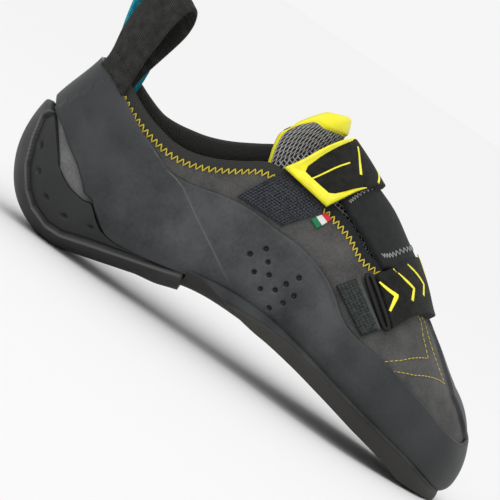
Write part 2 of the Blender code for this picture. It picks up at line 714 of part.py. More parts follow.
def make_strap_tab(strap):
    """The moulded frame round the top strap's outer end: two arms that taper, and the end between them."""
    arms = (
        (0.46, 0.0, 0.43, 0.05), (0.31, 0.0, 0.30, 0.11), (0.16, 0.0, 0.17, 0.16), (0.0, 0.0, 0.09, 0.20),
        (0.0, 0.34, 0.085, 0.38), (0.0, 0.67, 0.085, 0.64), (0.0, 1.0, 0.09, 0.83), (0.12, 1.0, 0.13, 0.87),
        (0.22, 1.0, 0.22, 0.90), (0.33, 1.0, 0.31, 0.96),
    )
    rows = np.arange(len(arms))
    fine = np.linspace(0, rows[-1], 25)
    table = np.stack([np.interp(fine, rows, column) for column in np.array(arms).T], axis=-1)
    share = np.linspace(0, 1, 3)
    a = table[:, None, 0] * (1 - share) + table[:, None, 2] * share
    c = table[:, None, 1] * (1 - share) + table[:, None, 3] * share
    base = strap_over(a) + STRAP_THICK + CLEAR
    sheet("strap_top_tab", "yellow", strap.skin(a, c, base + TAB_THICK), strap.skin(a, c, base))


def strap_over(a):
    """How far from the last the top strap lies: over the closure patch, and over the panel on the ridge."""
    at_end = CLEAR + PATCH_THICK + CLEAR
    return at_end + (CLEAR + PANEL_THICK + CLEAR - at_end) * bump(a)


def make_straps():
    base = constant_a(CLEAR)
    over_webbing = constant_a(CLEAR + WEBBING_THICK)
    make_sash("closure_patch", "fuzzy", CLOSURE_PATCH, 6, 5, constant_a(CLEAR + PATCH_THICK), base)
    make_sash("bridge_panel", "stretch", BRIDGE_PANEL, 13, 6, constant_a(CLEAR + PANEL_THICK), base)
    top = make_sash(
        "strap_top", "webbing", TOP_STRAP, 15, 5, lambda a: strap_over(a) + STRAP_THICK, strap_over
    )
    make_strap_tab(top)
    lower = make_sash(
        "strap_lower", "webbing", LOWER_STRAP, 15, 5,
        lambda a: CLEAR + STRAP_THICK + (LOWER_FOLD * bump(a)), base,
    )
    below = make_sash("webbing_lower", "webbing", LOWER_WEBBING, 4, 5, over_webbing, base)
    inner = make_sash("webbing_top", "webbing", MEDIAL_WEBBING, 4, 5, over_webbing, base)
    make_sash("side_tag", "tag", SIDE_TAG, 3, 3, constant_a(CLEAR + TAG_THICK), base)
    make_ring("ring_lower", below, lower, 0)
    make_ring("ring_top", inner, top, 1)


def constant_a(distance):
    return lambda a: distance + 0 * a


def make_ring(name, webbing, strap, strap_end):
    """A wire ring lying between a webbing's fold and a strap's end."""
    radius = WIRE / 2
    count, sides = 22, 6
    corners = []
    for c in (0.0, 1.0):
        low, high = webbing.place(1.0, c), strap.place(float(strap_end), c)
        corners.append((np.array(low), np.array(high)))
    height = CLEAR + radius
    ends = [[skin(spot[0], spot[1], height + RING_LIFT) for spot in pair] for pair in corners]
    rear, front = ((pair[0] + pair[1]) / 2 for pair in ends)
    across = ((ends[0][1] - ends[0][0]) + (ends[1][1] - ends[1][0])) / 2
    width = np.linalg.norm(across)
    across = across / width
    half_width = width / 2 - CLEAR - radius - RING_PLAY
    along = front - rear
    half_length = np.linalg.norm(along) / 2
    along = along / (2 * half_length)
    bow_u, bow_v = (np.array(webbing.place(1.0, 0.5)) + np.array(strap.place(float(strap_end), 0.5))) / 2
    middle = (rear + front) / 2
    bow = skin(bow_u, bow_v, height + RING_LIFT) - middle
    up = np.cross(along, across)
    path = []
    for k in range(count):
        turn = 2 * math.pi * k / count
        along_share = math.copysign(abs(math.cos(turn)) ** 0.45, math.cos(turn))
        across_share = math.copysign(abs(math.sin(turn)) ** 0.6, math.sin(turn))
        path.append(middle + along * half_length * along_share + across * half_width * across_share
                    + bow * (1 - along_share**2))
    path = np.array(path)
    tangent = np.roll(path, -1, axis=0) - np.roll(path, 1, axis=0)
    tangent /= np.linalg.norm(tangent, axis=1, keepdims=True)
    side = np.cross(tangent, up)
    side /= np.linalg.norm(side, axis=1, keepdims=True)
    normal = np.cross(side, tangent)
    turn = np.linspace(0, 2 * math.pi, sides, endpoint=False)
    ring = side[:, None] * np.cos(turn)[:, None] + normal[:, None] * np.sin(turn)[:, None]
    points = path[:, None] + radius * ring
    faces = []
    for i in range(count):
        for j in range(sides):
            here, following = i * sides, ((i + 1) % count) * sides
            faces.append((here + j, following + j, following + (j + 1) % sides, here + (j + 1) % sides))
    add_piece(name, points.reshape(-1, 3), faces, "wire")


def make_tongue(collar):
    """The tongue: a sheet under the throat, then a free flap that rises in front of the ankle."""
    columns = np.linspace(-1, 1, 11)
    outer, inner = [], []
    for x in np.linspace(TONGUE_FRONT * LENGTH, TONGUE_TURN * LENGTH, 6):
        row_out, row_in = [], []
        for share in columns:
            side = LATERAL if share < 0 else MEDIAL
            u = float(side_u(side, x))
            slope = 1.0 if x < TONGUE_SLOPE_FROM * LENGTH else TONGUE_SLOPE_HEIGHT
            edge = v_at_height(u, TONGUE_EDGE_HEIGHT * INSTEP * slope)
            v = 1 - abs(share) * (1 - edge)
            rise = smooth((v - float(collar(u)) - 0.05) / 0.08)
            over = -UPPER_WALL - CLEAR + (UPPER_WALL + CLEAR) * rise * (x < TONGUE_STEP_FROM * LENGTH)
            row_out.append(skin(u, v, np.array(over)))
            row_in.append(skin(u, v, np.array(over - TONGUE_THICK)))
        outer.append(row_out)
        inner.append(row_in)
    outer, inner = np.array(outer), np.array(inner)
    flap = []
    for front_x, front_z, edge_x, edge_y, edge_z in TONGUE_FLAP_ROWS:
        turn = np.abs(columns) * math.pi / 2
        drop = 1 - np.cos(turn) ** 0.9
        y = np.sign(columns) * np.sin(turn) ** 0.9 * edge_y * BALL_WIDTH
        x = (front_x + (edge_x - front_x) * drop) * LENGTH
        z = (front_z + (edge_z - front_z) * drop) * INSTEP
        flap.append(np.stack([x, y, z], axis=-1))
    flap = np.array(flap)
    grid = np.concatenate([outer[-1:], flap])
    up = np.gradient(grid, axis=0)
    across = np.gradient(grid, axis=1)
    normal = np.cross(across, up)
    normal /= np.linalg.norm(normal, axis=-1, keepdims=True)
    front = normal[:, len(columns) // 2, 0].mean()
    normal *= math.copysign(1.0, front)
    back = flap - normal[1:] * TONGUE_FLAP
    sheet("tongue", "mesh", np.concatenate([outer, flap]), np.concatenate([inner, back]))


def make_pull_loop(name, material_name, side, collar):
    """A folded webbing loop over the collar's edge, one leg outside the wall and one inside."""
    centre, _ = locate(side, LOOP_PLACE * LENGTH, 0.84 * INSTEP)
    half = LOOP_WIDTH / 2 / GIRTH[-1]
    columns = np.linspace(-1, 1, 5)
    us = centre + columns * half
    rows_out, rows_in = [], []
    outer_leg = CLEAR + RAND_THICK + CLEAR
    inner_leg = -(COLLAR_LINING + 2 * CLEAR + LOOP_THICK)
    middle = (outer_leg + LOOP_THICK + inner_leg) / 2
    reach = (outer_leg + LOOP_THICK - inner_leg) / 2
    route = [(-0.010, 1.0), (-0.004, 1.0), (0.004, 1.05), (0.015, 1.0 + LOOP_BULGE / reach),
             (0.028, 1.0 + LOOP_BULGE / reach)]
    fold = [(0.028 + math.sin(t) * (LOOP_HEIGHT - 0.028), math.cos(t) * (1 + LOOP_BULGE / reach))
            for t in np.linspace(0.35, math.pi - 0.35, 7)]
    back = [(h, -r) for h, r in reversed(route)]
    path = np.array(route + fold + back)
    for k, u in enumerate(us):
        v = float(collar(u))
        edge = last_point(u, v)
        normal = last_normal(u, min(v, 0.85))
        normal[2] = 0
        normal /= np.linalg.norm(normal)
        out_line, in_line = [], []
        for height, share in path:
            if height < 0:
                place = v_at_height(u, edge[2] + height)
                at = last_point(u, place)
            else:
                at = edge + np.array([0, 0, height])
            out_line.append(at + normal * (middle + reach * share))
        line = np.array(out_line)
        along = np.gradient(line, axis=0)
        along /= np.linalg.norm(along, axis=1, keepdims=True)
        width = np.cross(normal, [0, 0, 1.0])
        inward = np.cross(along, width)
        inward /= np.linalg.norm(inward, axis=1, keepdims=True)
        if np.dot(inward[0], normal) > 0:
            inward = -inward
        in_line = line + inward * LOOP_THICK
        rows_out.append(line)
        rows_in.append(in_line)
    out = np.swapaxes(np.array(rows_out), 0, 1)
    inn = np.swapaxes(np.array(rows_in), 0, 1)
    sheet(name, material_name, out, inn)


def settle():
    """Centres the finished shoe on the origin."""
    bpy.context.view_layer.update()
    pieces = list(bpy.context.scene.objects)
    corners = np.array([piece.matrix_world @ spot.co for piece in pieces for spot in piece.data.vertices])
    middle = (corners.min(axis=0) + corners.max(axis=0)) / 2
    for piece in pieces:
        piece.location = (-middle[0], -middle[1], 0.0)


def main():
    clear_scene()
    collar = round_edge(COLLAR_LATERAL, COLLAR_MEDIAL)
    rand_top = round_edge(RAND_TOP_LATERAL, RAND_TOP_MEDIAL)
    rand_low = rand_low_edge()
    make_upper(collar, rand_top)
    make_rand(rand_top, rand_low)
    make_heel_cup(rand_low)
    make_outsole(rand_low)
    make_insole()
    make_tongue(collar)
    make_straps()
    make_pull_loop("pull_loop_outer", "webbing", LATERAL, collar)
    make_pull_loop("pull_loop_inner", "teal", MEDIAL, collar)
    settle()


main()
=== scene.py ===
"""The looks of a right climbing shoe: every piece follows the same last as the CAD model, in finer steps.

While modelling, X runs from the heel to the toe, Y to the big toe's side and Z up from the floor, in metres.
SHIFT then takes each piece to the frame's place.
"""

import math

import bmesh
import bpy
import numpy as np
from mathutils import Matrix, Vector, kdtree


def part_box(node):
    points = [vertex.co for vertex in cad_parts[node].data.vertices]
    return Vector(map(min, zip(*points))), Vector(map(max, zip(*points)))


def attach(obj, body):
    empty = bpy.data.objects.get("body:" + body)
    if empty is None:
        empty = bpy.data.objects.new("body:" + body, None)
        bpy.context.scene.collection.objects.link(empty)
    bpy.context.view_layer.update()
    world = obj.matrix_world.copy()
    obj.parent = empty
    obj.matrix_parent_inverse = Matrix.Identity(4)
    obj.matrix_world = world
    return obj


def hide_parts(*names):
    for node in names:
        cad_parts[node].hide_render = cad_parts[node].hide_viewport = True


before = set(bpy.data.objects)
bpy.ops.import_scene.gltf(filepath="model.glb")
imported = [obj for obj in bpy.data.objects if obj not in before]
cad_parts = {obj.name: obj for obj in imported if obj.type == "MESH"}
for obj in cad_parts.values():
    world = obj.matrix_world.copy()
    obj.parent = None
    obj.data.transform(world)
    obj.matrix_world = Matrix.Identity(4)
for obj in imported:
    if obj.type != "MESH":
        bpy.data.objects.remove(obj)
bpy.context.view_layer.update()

# The last's sizes and the layers on it, as in the CAD model
LENGTH = 0.255
BALL_WIDTH = 0.090
INSTEP = 0.100
CLEAR = 0.0004
SOLE_CLEAR = 0.0005
UPPER_WALL = 0.0020
COLLAR_LINING = 0.0032
RAND_THICK = 0.0020
HEEL_LIP = 0.0023
HEEL_END = 0.0015
SOLE_THICK = 0.0042
TONGUE_THICK = 0.0030
TONGUE_FLAP = 0.0045
PATCH_THICK = 0.0012
PANEL_THICK = 0.0029
STRAP_THICK = 0.0026
TAB_THICK = 0.0018
WEBBING_THICK = 0.0030
WIRE = 0.0022
LOOP_WIDTH = 0.024
LOOP_THICK = 0.0016
LOOP_HEIGHT = 0.046
LOOP_BULGE = 0.0022
TAG_THICK = 0.0008
LOWER_FOLD = 0.0018
LOOP_PLACE = 0.088
SOLE_BACK_THICK = 0.0008
RING_LIFT = 0.0008
RING_PLAY = 0.0002

SPINE_COLUMNS = ("along", "across", "lateral", "medial", "sole", "widest", "ridge", "low", "high", "draw")
SPINE = (
    (0.157, 0.000, 0.322, 0.322, 0.035, 0.30, 1.350, 2.4, 2.40, 0.050),
    (0.235, 0.000, 0.333, 0.322, 0.092, 0.32, 1.330, 2.3, 2.40, 0.050),
    (0.314, 0.000, 0.333, 0.317, 0.150, 0.36, 1.290, 2.2, 2.30, 0.045),
    (0.392, 0.000, 0.339, 0.317, 0.215, 0.40, 1.220, 2.2, 2.10, 0.030),
    (0.471, 0.000, 0.356, 0.333, 0.255, 0.42, 1.150, 2.2, 1.85, 0.010),
    (0.549, 0.006, 0.389, 0.367, 0.270, 0.42, 1.065, 2.3, 1.75, 0.000),
    (0.627, 0.011, 0.444, 0.417, 0.252, 0.39, 0.980, 2.5, 1.75, 0.000),
    (0.706, 0.011, 0.489, 0.456, 0.217, 0.35, 0.860, 2.7, 1.85, 0.000),
    (0.784, 0.022, 0.478, 0.450, 0.170, 0.31, 0.698, 2.8, 2.00, 0.000),
    (0.843, 0.056, 0.417, 0.394, 0.130, 0.28, 0.590, 2.8, 2.10, 0.000),
    (0.902, 0.100, 0.322, 0.306, 0.074, 0.25, 0.485, 2.7, 2.15, 0.000),
)
HEEL_BACK = (0.0157, 0.000, 0.43, 2.1, 2.4, 0.086)
HEEL_TURN = ((0.033, 0.171, 0.395, 2.1, 2.4, 0.080), (0.0816, 0.282, 0.34, 2.2, 2.4, 0.065))
TOE_TURN_LATERAL = ((0.946, -0.117, 0.20, 2.6, 2.2, 0.0), (0.973, -0.017, 0.165, 2.5, 2.2, 0.0))
TOE_TIP = (0.990, 0.100, 0.145, 2.5, 2.2, 0.0)
TOE_TURN_MEDIAL = ((0.985, 0.236, 0.150, 2.5, 2.2, 0.0), (0.955, 0.360, 0.185, 2.6, 2.2, 0.0))
TOE_DROP_SOLE = -0.22
TOE_DROP_TOP = -0.50
DRAW_HEIGHT = 0.45

# Edges seen from each side, as shares of LENGTH and of INSTEP
COLLAR_LATERAL = (
    (0.055, 0.858), (0.080, 0.848), (0.108, 0.815), (0.149, 0.765), (0.196, 0.725), (0.235, 0.708),
    (0.278, 0.718), (0.322, 0.762), (0.361, 0.820), (0.392, 0.872), (0.440, 0.890), (0.490, 0.893),
    (0.533, 0.885), (0.588, 0.850), (0.633, 0.795), (0.660, 0.790),
)
COLLAR_MEDIAL = (
    (0.055, 0.858), (0.080, 0.850), (0.108, 0.828), (0.149, 0.785), (0.196, 0.752), (0.235, 0.748),
    (0.278, 0.770), (0.322, 0.820), (0.361, 0.880), (0.392, 0.930), (0.440, 0.960), (0.490, 0.965),
    (0.533, 0.955), (0.588, 0.920), (0.633, 0.870), (0.660, 0.850),
)
RAND_TOP_LATERAL = (
    (0.051, 0.838), (0.079, 0.815), (0.113, 0.763), (0.149, 0.712), (0.185, 0.666), (0.222, 0.634),
    (0.258, 0.600), (0.291, 0.601), (0.376, 0.651), (0.438, 0.665), (0.482, 0.658), (0.529, 0.656),
    (0.614, 0.584), (0.672, 0.490), (0.707, 0.468), (0.773, 0.444), (0.840, 0.396), (0.926, 0.323),
    (0.964, 0.306), (0.977, 0.323),
)
RAND_TOP_MEDIAL = (
    (0.051, 0.838), (0.079, 0.820), (0.113, 0.775), (0.149, 0.725), (0.185, 0.680), (0.222, 0.650),
    (0.258, 0.630), (0.291, 0.630), (0.376, 0.660), (0.438, 0.665), (0.529, 0.650), (0.614, 0.590),
    (0.672, 0.530), (0.720, 0.520), (0.760, 0.546), (0.800, 0.562), (0.840, 0.535), (0.890, 0.465),
    (0.926, 0.405), (0.964, 0.345), (0.977, 0.323),
)
RAND_LOW = (
    (0.026, 0.548), (0.063, 0.478), (0.120, 0.383), (0.178, 0.290), (0.201, 0.246), (0.227, 0.205),
    (0.250, 0.200), (0.290, 0.212), (0.340, 0.240), (0.378, 0.262),
)
RAND_UNDER = 0.10
UNDER_FULL = 0.55
CUP_TOP = (
    (0.022, 0.528), (0.044, 0.490), (0.078, 0.392), (0.101, 0.322), (0.129, 0.286), (0.161, 0.271),
    (0.186, 0.270), (0.197, 0.244), (0.224, 0.200),
)
HEEL_FRONT = 0.382
SOLE_BACK = 0.386
SOLE_FULL = 0.56
SOLE_EDGE = 0.33
UPPER_UNDER = 0.20
SOLE_FLATNESS = 0.8
THROAT_END = 0.714
SOLE_RIB = 0.014
RIB_RAMP = 0.004
CUP_GAP = 0.003

# Straps and panels: rear and front edge in each row, from the outer side over the ridge to the inner side
LATERAL, RIDGE, MEDIAL = -1, 0, 1
TOP_STRAP = (
    (LATERAL, 0.423, 0.890, 0.523, 0.848), (LATERAL, 0.448, 1.000, 0.545, 0.945),
    (RIDGE, 0.489, 0.0, 0.584, 0.0),
    (MEDIAL, 0.462, 0.990, 0.560, 0.920), (MEDIAL, 0.442, 0.825, 0.540, 0.770),
)
BRIDGE_PANEL = (
    (LATERAL, 0.547, 0.905, 0.655, 0.785), (LATERAL, 0.555, 0.980, 0.678, 0.830),
    (RIDGE, 0.577, 0.0, 0.696, 0.0),
    (MEDIAL, 0.566, 0.950, 0.678, 0.830), (MEDIAL, 0.545, 0.880, 0.660, 0.760),
)
LOWER_STRAP = (
    (LATERAL, 0.663, 0.735, 0.738, 0.578), (LATERAL, 0.680, 0.800, 0.762, 0.680),
    (RIDGE, 0.702, 0.0, 0.790, 0.0),
    (MEDIAL, 0.680, 0.720, 0.765, 0.640), (MEDIAL, 0.660, 0.580, 0.740, 0.560),
)
LOWER_WEBBING = ((LATERAL, 0.617, 0.600, 0.702, 0.485), (LATERAL, 0.642, 0.690, 0.724, 0.553))
CLOSURE_PATCH = (
    (LATERAL, 0.384, 0.676, 0.478, 0.682), (LATERAL, 0.405, 0.785, 0.508, 0.780),
    (LATERAL, 0.425, 0.878, 0.527, 0.868),
)
SIDE_TAG = ((LATERAL, 0.513, 0.778, 0.532, 0.758), (LATERAL, 0.530, 0.840, 0.545, 0.830))
MEDIAL_WEBBING = ((MEDIAL, 0.430, 0.690, 0.520, 0.672), (MEDIAL, 0.436, 0.760, 0.533, 0.715))
TONGUE_FLAP_ROWS = (
    (0.4820, 1.150, 0.396, 0.215, 0.860), (0.4790, 1.190, 0.386, 0.222, 0.950),
    (0.4740, 1.222, 0.385, 0.240, 1.040), (0.4700, 1.240, 0.402, 0.205, 1.120),
    (0.4640, 1.246, 0.428, 0.125, 1.210),
)
TONGUE_FRONT = 0.725
TONGUE_TURN = 0.505
TONGUE_EDGE_HEIGHT = 0.80

# How the photograph lies over the shoe's side: turn, metres in a pixel, and the heel's and the floor's place
PHOTO_TURN = math.radians(34.7)
PHOTO_PIXEL = 0.000460101
PHOTO_HEEL = 93.2307
PHOTO_FLOOR = 173.285
PHOTO_SIZE = 500
CAMERA_LENS = 230.0
CAMERA_SENSOR = 36.0
CAMERA_TILT = math.radians(4.5)
CAMERA_AIM = (246.2, 252.5)
CAMERA_AIM_DEPTH = 0.002

# Details, placed in the shoe's own sizes
MM = 0.001
PERFORATIONS = (
    (122.9, 55.2), (118.2, 49.1), (127.1, 50.8), (124.4, 43.4), (130.9, 46.2), (131.2, 38.5),
    (137.1, 42.1), (139.7, 47.2), (143.0, 52.9), (145.8, 44.8), (143.5, 39.2), (139.5, 33.7),
)
HEEL_DIMPLES = ((10.6, 35.6, -68), (16.6, 25.3, -50), (26.1, 17.3, -25), (37.9, 14.8, 5), (50.6, 17.4, 14))
HEEL_LIP_LINE = (
    (9.5, 62.0), (6.8, 54.8), (3.1, 47.2), (5.9, 35.2), (10.2, 24.1), (17.1, 14.9), (23.4, 9.8), (33.1, 6.4),
    (41.4, 6.6), (52.9, 10.1), (62.3, 12.7), (71.7, 15.3), (80.0, 17.5), (97.0, 22.0),
)
BAND_EDGE = (
    (13.1, 83.8), (20.5, 80.5), (30.0, 75.0), (45.0, 67.0), (58.0, 62.0), (76.0, 56.3), (89.0, 48.5),
    (100.4, 42.4), (111.5, 36.1), (125.8, 29.2),
)
BAND_PALE = 6
SOLE_LINE = (
    (90, 19.5), (108, 21.9), (124, 24.6), (142.5, 26.2), (157.2, 25.2), (176.4, 21.7), (202, 17.0),
    (227.6, 12.4), (241.2, 8.9), (250, 7.0), (262, 5.0),
)
TOE_RUBBER = ((196, 14), (201, 7), (209, 1), (219, -3), (231, -4), (240, 0), (245, 4), (248, 8), (250, 16))
# Soft troughs and ridges in the upper and the rand: a line seen from the side, its half width and its depth
CREASES = (
    (150, 62, 163, 50, 2.6, 0.70), (143, 66, 152, 57, 2.0, 0.50), (168, 40, 184, 30, 3.6, 0.60),
    (196, 47, 206, 36, 3.0, 0.50), (207, 58, 215, 46, 2.4, 0.60), (88, 62, 98, 46, 3.4, 0.60),
    (60, 52, 84, 40, 4.5, 0.60), (28, 74, 40, 60, 4.0, -0.50), (100, 48, 112, 34, 4.0, 0.50),
    (16, 62, 30, 52, 3.0, 0.40), (186, 62, 192, 52, 2.2, 0.60), (222, 44, 231, 36, 3.0, 0.44),
)
# Sizes of the details. A wall is the way over which a form rises or sinks. FAR is out of any form's reach.
FAR = 0.02
EDGE_FADE = 3 * MM
COLLAR_FADE = 6 * MM
TOE_RUBBER_FROM = 0.72
TOE_RUBBER_THICK = 1.7 * MM
TOE_RUBBER_WALL = 1.2 * MM
BINDING_RISE = 2.2 * MM
HOLE_RADIUS = 1.55 * MM
HOLE_WALL = 0.75 * MM
HOLE_DEPTH = 1.35 * MM
BAND_STEP = 0.6 * MM
BAND_WALL = 0.8 * MM
DIMPLE_RADIUS = 1.35 * MM
DIMPLE_WALL = 0.7 * MM
DIMPLE_DEPTH = 1.1 * MM
DIMPLE_STRETCH = 1.7
LIP_START = 0.8 * MM
LIP_WALL = 1.5 * MM
LIP_FADE_START = 0.9 * MM
LIP_FADE = 2.6 * MM
ROLL_HEIGHT = 0.25 * MM
ROLL_PLACE = 1.4 * MM
ROLL_WIDTH = 0.8 * MM
CUP_CLOSED_BEHIND = 7.5 * MM
CUP_CLOSING = 3 * MM
SOLE_GROOVE = 0.45 * MM
SOLE_BULGE = 0.35 * MM
PANEL_REACH = (-0.22, 1.12)
FELT_DEPTH = 0.22 * MM
STRAP_WAVE = 0.25 * MM
LOOP_WAVE = 0.3 * MM
PAD_PUFF = 0.9 * MM
WORLD_LIGHT = 0.92
SOFTBOX_POWER = 1.1
SUN_POWER = 0.88


def cubic(at, xs, ys):
    """A smooth curve through the points, with each slope taken from the two neighbours."""
    xs, ys, at = np.asarray(xs, float), np.asarray(ys, float), np.asarray(at, float)
    slopes = np.gradient(ys, xs, axis=0)
    index = np.clip(np.searchsorted(xs, at, side="right") - 1, 0, len(xs) - 2)
    span = xs[index + 1] - xs[index]
    t = (at - xs[index]) / span
    return (
        ys[index] * (2 * t**3 - 3 * t**2 + 1)
        + slopes[index] * span * (t**3 - 2 * t**2 + t)
        + ys[index + 1] * (3 * t**2 - 2 * t**3)
        + slopes[index + 1] * span * (t**3 - t**2)
    )


def smooth(t):
    t = np.clip(t, 0.0, 1.0)
    return t * t * (3 - 2 * t)


SPINE_ROWS = np.array(SPINE)
SPINE_X = SPINE_ROWS[:, 0] * LENGTH
HEEL_AXIS, TOE_AXIS = SPINE_X[0], SPINE_X[-1]


def spine(column, x):
    scale = {"across": BALL_WIDTH, "sole": INSTEP, "ridge": INSTEP}[column]
    return cubic(x, SPINE_X, SPINE_ROWS[:, SPINE_COLUMNS.index(column)] * scale)


def loop_rows():
    """The last's outline, from the heel by the outer side: x, y, base x, widest, low, high and draw."""
    def turn(row, sign, base):
        along, across, widest, low, high, draw = row
        out_y = sign * across * BALL_WIDTH
        return (along * LENGTH, out_y, base, widest * INSTEP, low, high, draw * BALL_WIDTH)

    def side(row, sign):
        along, across, lateral, medial, _, widest, _, low, high, draw = row
        half = (across - lateral if sign < 0 else across + medial) * BALL_WIDTH
        return (along * LENGTH, half, along * LENGTH, widest * INSTEP, low, high, draw * BALL_WIDTH)

    rows = [turn(HEEL_BACK, 1, HEEL_AXIS)]
    rows += [turn(row, -1, HEEL_AXIS) for row in HEEL_TURN]
    rows += [side(row, -1) for row in SPINE]
    rows += [turn(row, 1, TOE_AXIS) for row in (*TOE_TURN_LATERAL, TOE_TIP, *TOE_TURN_MEDIAL)]
    rows += [side(row, 1) for row in reversed(SPINE)]
    rows += [turn(row, 1, HEEL_AXIS) for row in reversed(HEEL_TURN)]
    return np.array(rows)


ROWS = loop_rows()
FIRST_SIDE = 1 + len(HEEL_TURN)
TIP = FIRST_SIDE + len(SPINE) + len(TOE_TURN_LATERAL)
CLOSED = np.vstack([ROWS, ROWS[:1]])
GIRTH = np.concatenate([[0.0], np.cumsum(np.hypot(*np.diff(CLOSED[:, :2], axis=0).T))])
ROW_U = GIRTH / GIRTH[-1]
TIP_U = ROW_U[TIP]
LATERAL_U = ROW_U[FIRST_SIDE : FIRST_SIDE + len(SPINE)]
MEDIAL_U = ROW_U[TIP + 1 + len(TOE_TURN_MEDIAL) : TIP + 1 + len(TOE_TURN_MEDIAL) + len(SPINE)][::-1]
WRAP = 3
WRAPPED_U = np.concatenate([ROW_U[-1 - WRAP : -1] - 1, ROW_U, ROW_U[1 : 1 + WRAP] + 1])
WRAPPED = np.vstack([CLOSED[-1 - WRAP : -1], CLOSED, CLOSED[1 : 1 + WRAP]])


def side_u(side, x):
    return np.interp(x, SPINE_X, LATERAL_U if side < 0 else MEDIAL_U)


def base_of(u):
    return np.interp(np.mod(u, 1.0), WRAPPED_U, WRAPPED[:, 2])


def last_point(u, v):
    """The last's surface: u goes round the outline from the heel, v from the sole's middle to the ridge."""
    u, v = np.broadcast_arrays(np.mod(np.asarray(u, float), 1.0), np.asarray(v, float))
    out_x, out_y, _, widest, low, high, draw = [cubic(u, WRAPPED_U, WRAPPED[:, k]) for k in range(7)]
    base_x = base_of(u)
    base_y, sole, ridge = (spine(name, base_x) for name in ("across", "sole", "ridge"))
    toe = np.maximum(out_x - TOE_AXIS, 0.0)
    drop = TOE_DROP_SOLE + (TOE_DROP_TOP - TOE_DROP_SOLE) * smooth(v)
    widest = widest - (TOE_DROP_SOLE + TOE_DROP_TOP) / 2 * toe
    angle = np.abs(v - 0.5) * math.pi
    power = np.where(v < 0.5, low, high)
    reach = np.maximum(np.cos(angle), 0.0) ** (2 / power)
    rise = np.sin(angle) ** (2 / power)
    z = np.where(v < 0.5, widest - (widest - sole) * rise, widest + (ridge - widest) * rise)
    span = np.hypot(out_x - base_x, out_y - base_y)
    lean = draw * smooth((z - widest) / (DRAW_HEIGHT * INSTEP)) * (v > 0.5)
    reach = reach * (1 - np.minimum(lean / np.maximum(span, 1e-6), 0.9))
    x = base_x + (out_x - base_x) * reach
    y = base_y + (out_y - base_y) * reach
    return np.stack([x, y, z + drop * np.maximum(x - TOE_AXIS, 0.0)], axis=-1)


def last_normal(u, v):
    """The surface's outward direction. On the ridge and along the sole's middle both sides share one."""
    u, v = np.broadcast_arrays(np.asarray(u, float), np.asarray(v, float))
    du, dv = 4e-4, 3e-3
    low_v, high_v = np.clip(v - dv, 0.004, 0.99), np.clip(v + dv, 0.01, 0.996)
    inner_v = np.clip(v, 0.02, 0.98)
    along = last_point(u + du, inner_v) - last_point(u - du, inner_v)
    normal = np.cross(along, last_point(u, high_v) - last_point(u, low_v))
    normal /= np.maximum(np.linalg.norm(normal, axis=-1, keepdims=True), 1e-12)
    base_x = base_of(u)
    x0, x1 = np.clip(base_x - MM, HEEL_AXIS, TOE_AXIS), np.clip(base_x + MM, HEEL_AXIS, TOE_AXIS)
    for name, end, sign in (("ridge", v > 0.9995, 1.0), ("sole", v < 0.0005, -1.0)):
        slope = (spine(name, x1) - spine(name, x0)) / (x1 - x0)
        flat = np.stack([-slope * sign, np.zeros_like(slope), np.full_like(slope, sign)], axis=-1)
        flat /= np.linalg.norm(flat, axis=-1, keepdims=True)
        normal = np.where(end[..., None], flat, normal)
    return normal


def skin(u, v, offset):
    return last_point(u, v) + last_normal(u, v) * np.asarray(offset, float)[..., None]


V_TABLE = np.linspace(0.26, 1.0, 150)


def v_at_height(u, z):
    return float(np.interp(z, last_point(u, V_TABLE)[:, 2], V_TABLE))


def locate(side, x, z):
    """The u and v of the surface point seen at x and z from one side."""
    near, far = (0.0, TIP_U) if side < 0 else (1.0, TIP_U)
    for _ in range(24):
        u = (near + far) / 2
        if last_point(u, v_at_height(u, z))[0] < x:
            near = u
        else:
            far = u
    return u, v_at_height(u, z)


def side_edge(side, rows):
    return np.array(sorted(locate(side, along * LENGTH, height * INSTEP) for along, height in rows))


def wrapped_edge(spots):
    spots = spots[np.argsort(spots[:, 0])]
    spots = np.vstack([spots[-2:] - (1, 0), spots, spots[:2] + (1, 0)])
    return lambda u: cubic(np.mod(u, 1.0), spots[:, 0], spots[:, 1])


def round_edge(lateral_rows, medial_rows):
    return wrapped_edge(np.vstack([side_edge(LATERAL, lateral_rows), side_edge(MEDIAL, medial_rows)]))


def rand_low_edge():
    """Over the heel's side the rand's lower edge rises. Past the heel's rubber it turns under the sole."""
    lines = []
    for side in (LATERAL, MEDIAL):
        level = side_edge(side, [RAND_LOW[-1]])[0, 1]
        joint, ahead = side_u(side, SOLE_BACK * LENGTH), side_u(side, UNDER_FULL * LENGTH)
        lines += [side_edge(side, RAND_LOW), [[joint, level], [ahead, RAND_UNDER]]]
    spots = np.vstack(lines)
    spots = spots[np.argsort(spots[:, 0])]
    spots = np.vstack([spots[-1:] - (1, 0), spots, spots[:1] + (1, 0)])
    return lambda u: np.interp(np.mod(u, 1.0), spots[:, 0], spots[:, 1])


def along_line(line, x, z):
    """Each point's distance from a line seen from the side, above 0 on its left, and its share of the way."""
    line = np.array(line, float) * MM
    best = np.full(x.shape, np.inf)
    signed, way = np.zeros(x.shape), np.zeros(x.shape)
    for k, (start, end) in enumerate(zip(line[:-1], line[1:], strict=True)):
        step = end - start
        t = np.clip(((x - start[0]) * step[0] + (z - start[1]) * step[1]) / (step @ step), 0, 1)
        off_x, off_z = x - start[0] - t * step[0], z - start[1] - t * step[1]
        far = np.hypot(off_x, off_z)
        nearer = far < best
        best = np.where(nearer, far, best)
        signed = np.where(nearer, np.sign(step[0] * off_z - step[1] * off_x) * far, signed)
        way = np.where(nearer, (k + t) / (len(line) - 1), way)
    return signed, way


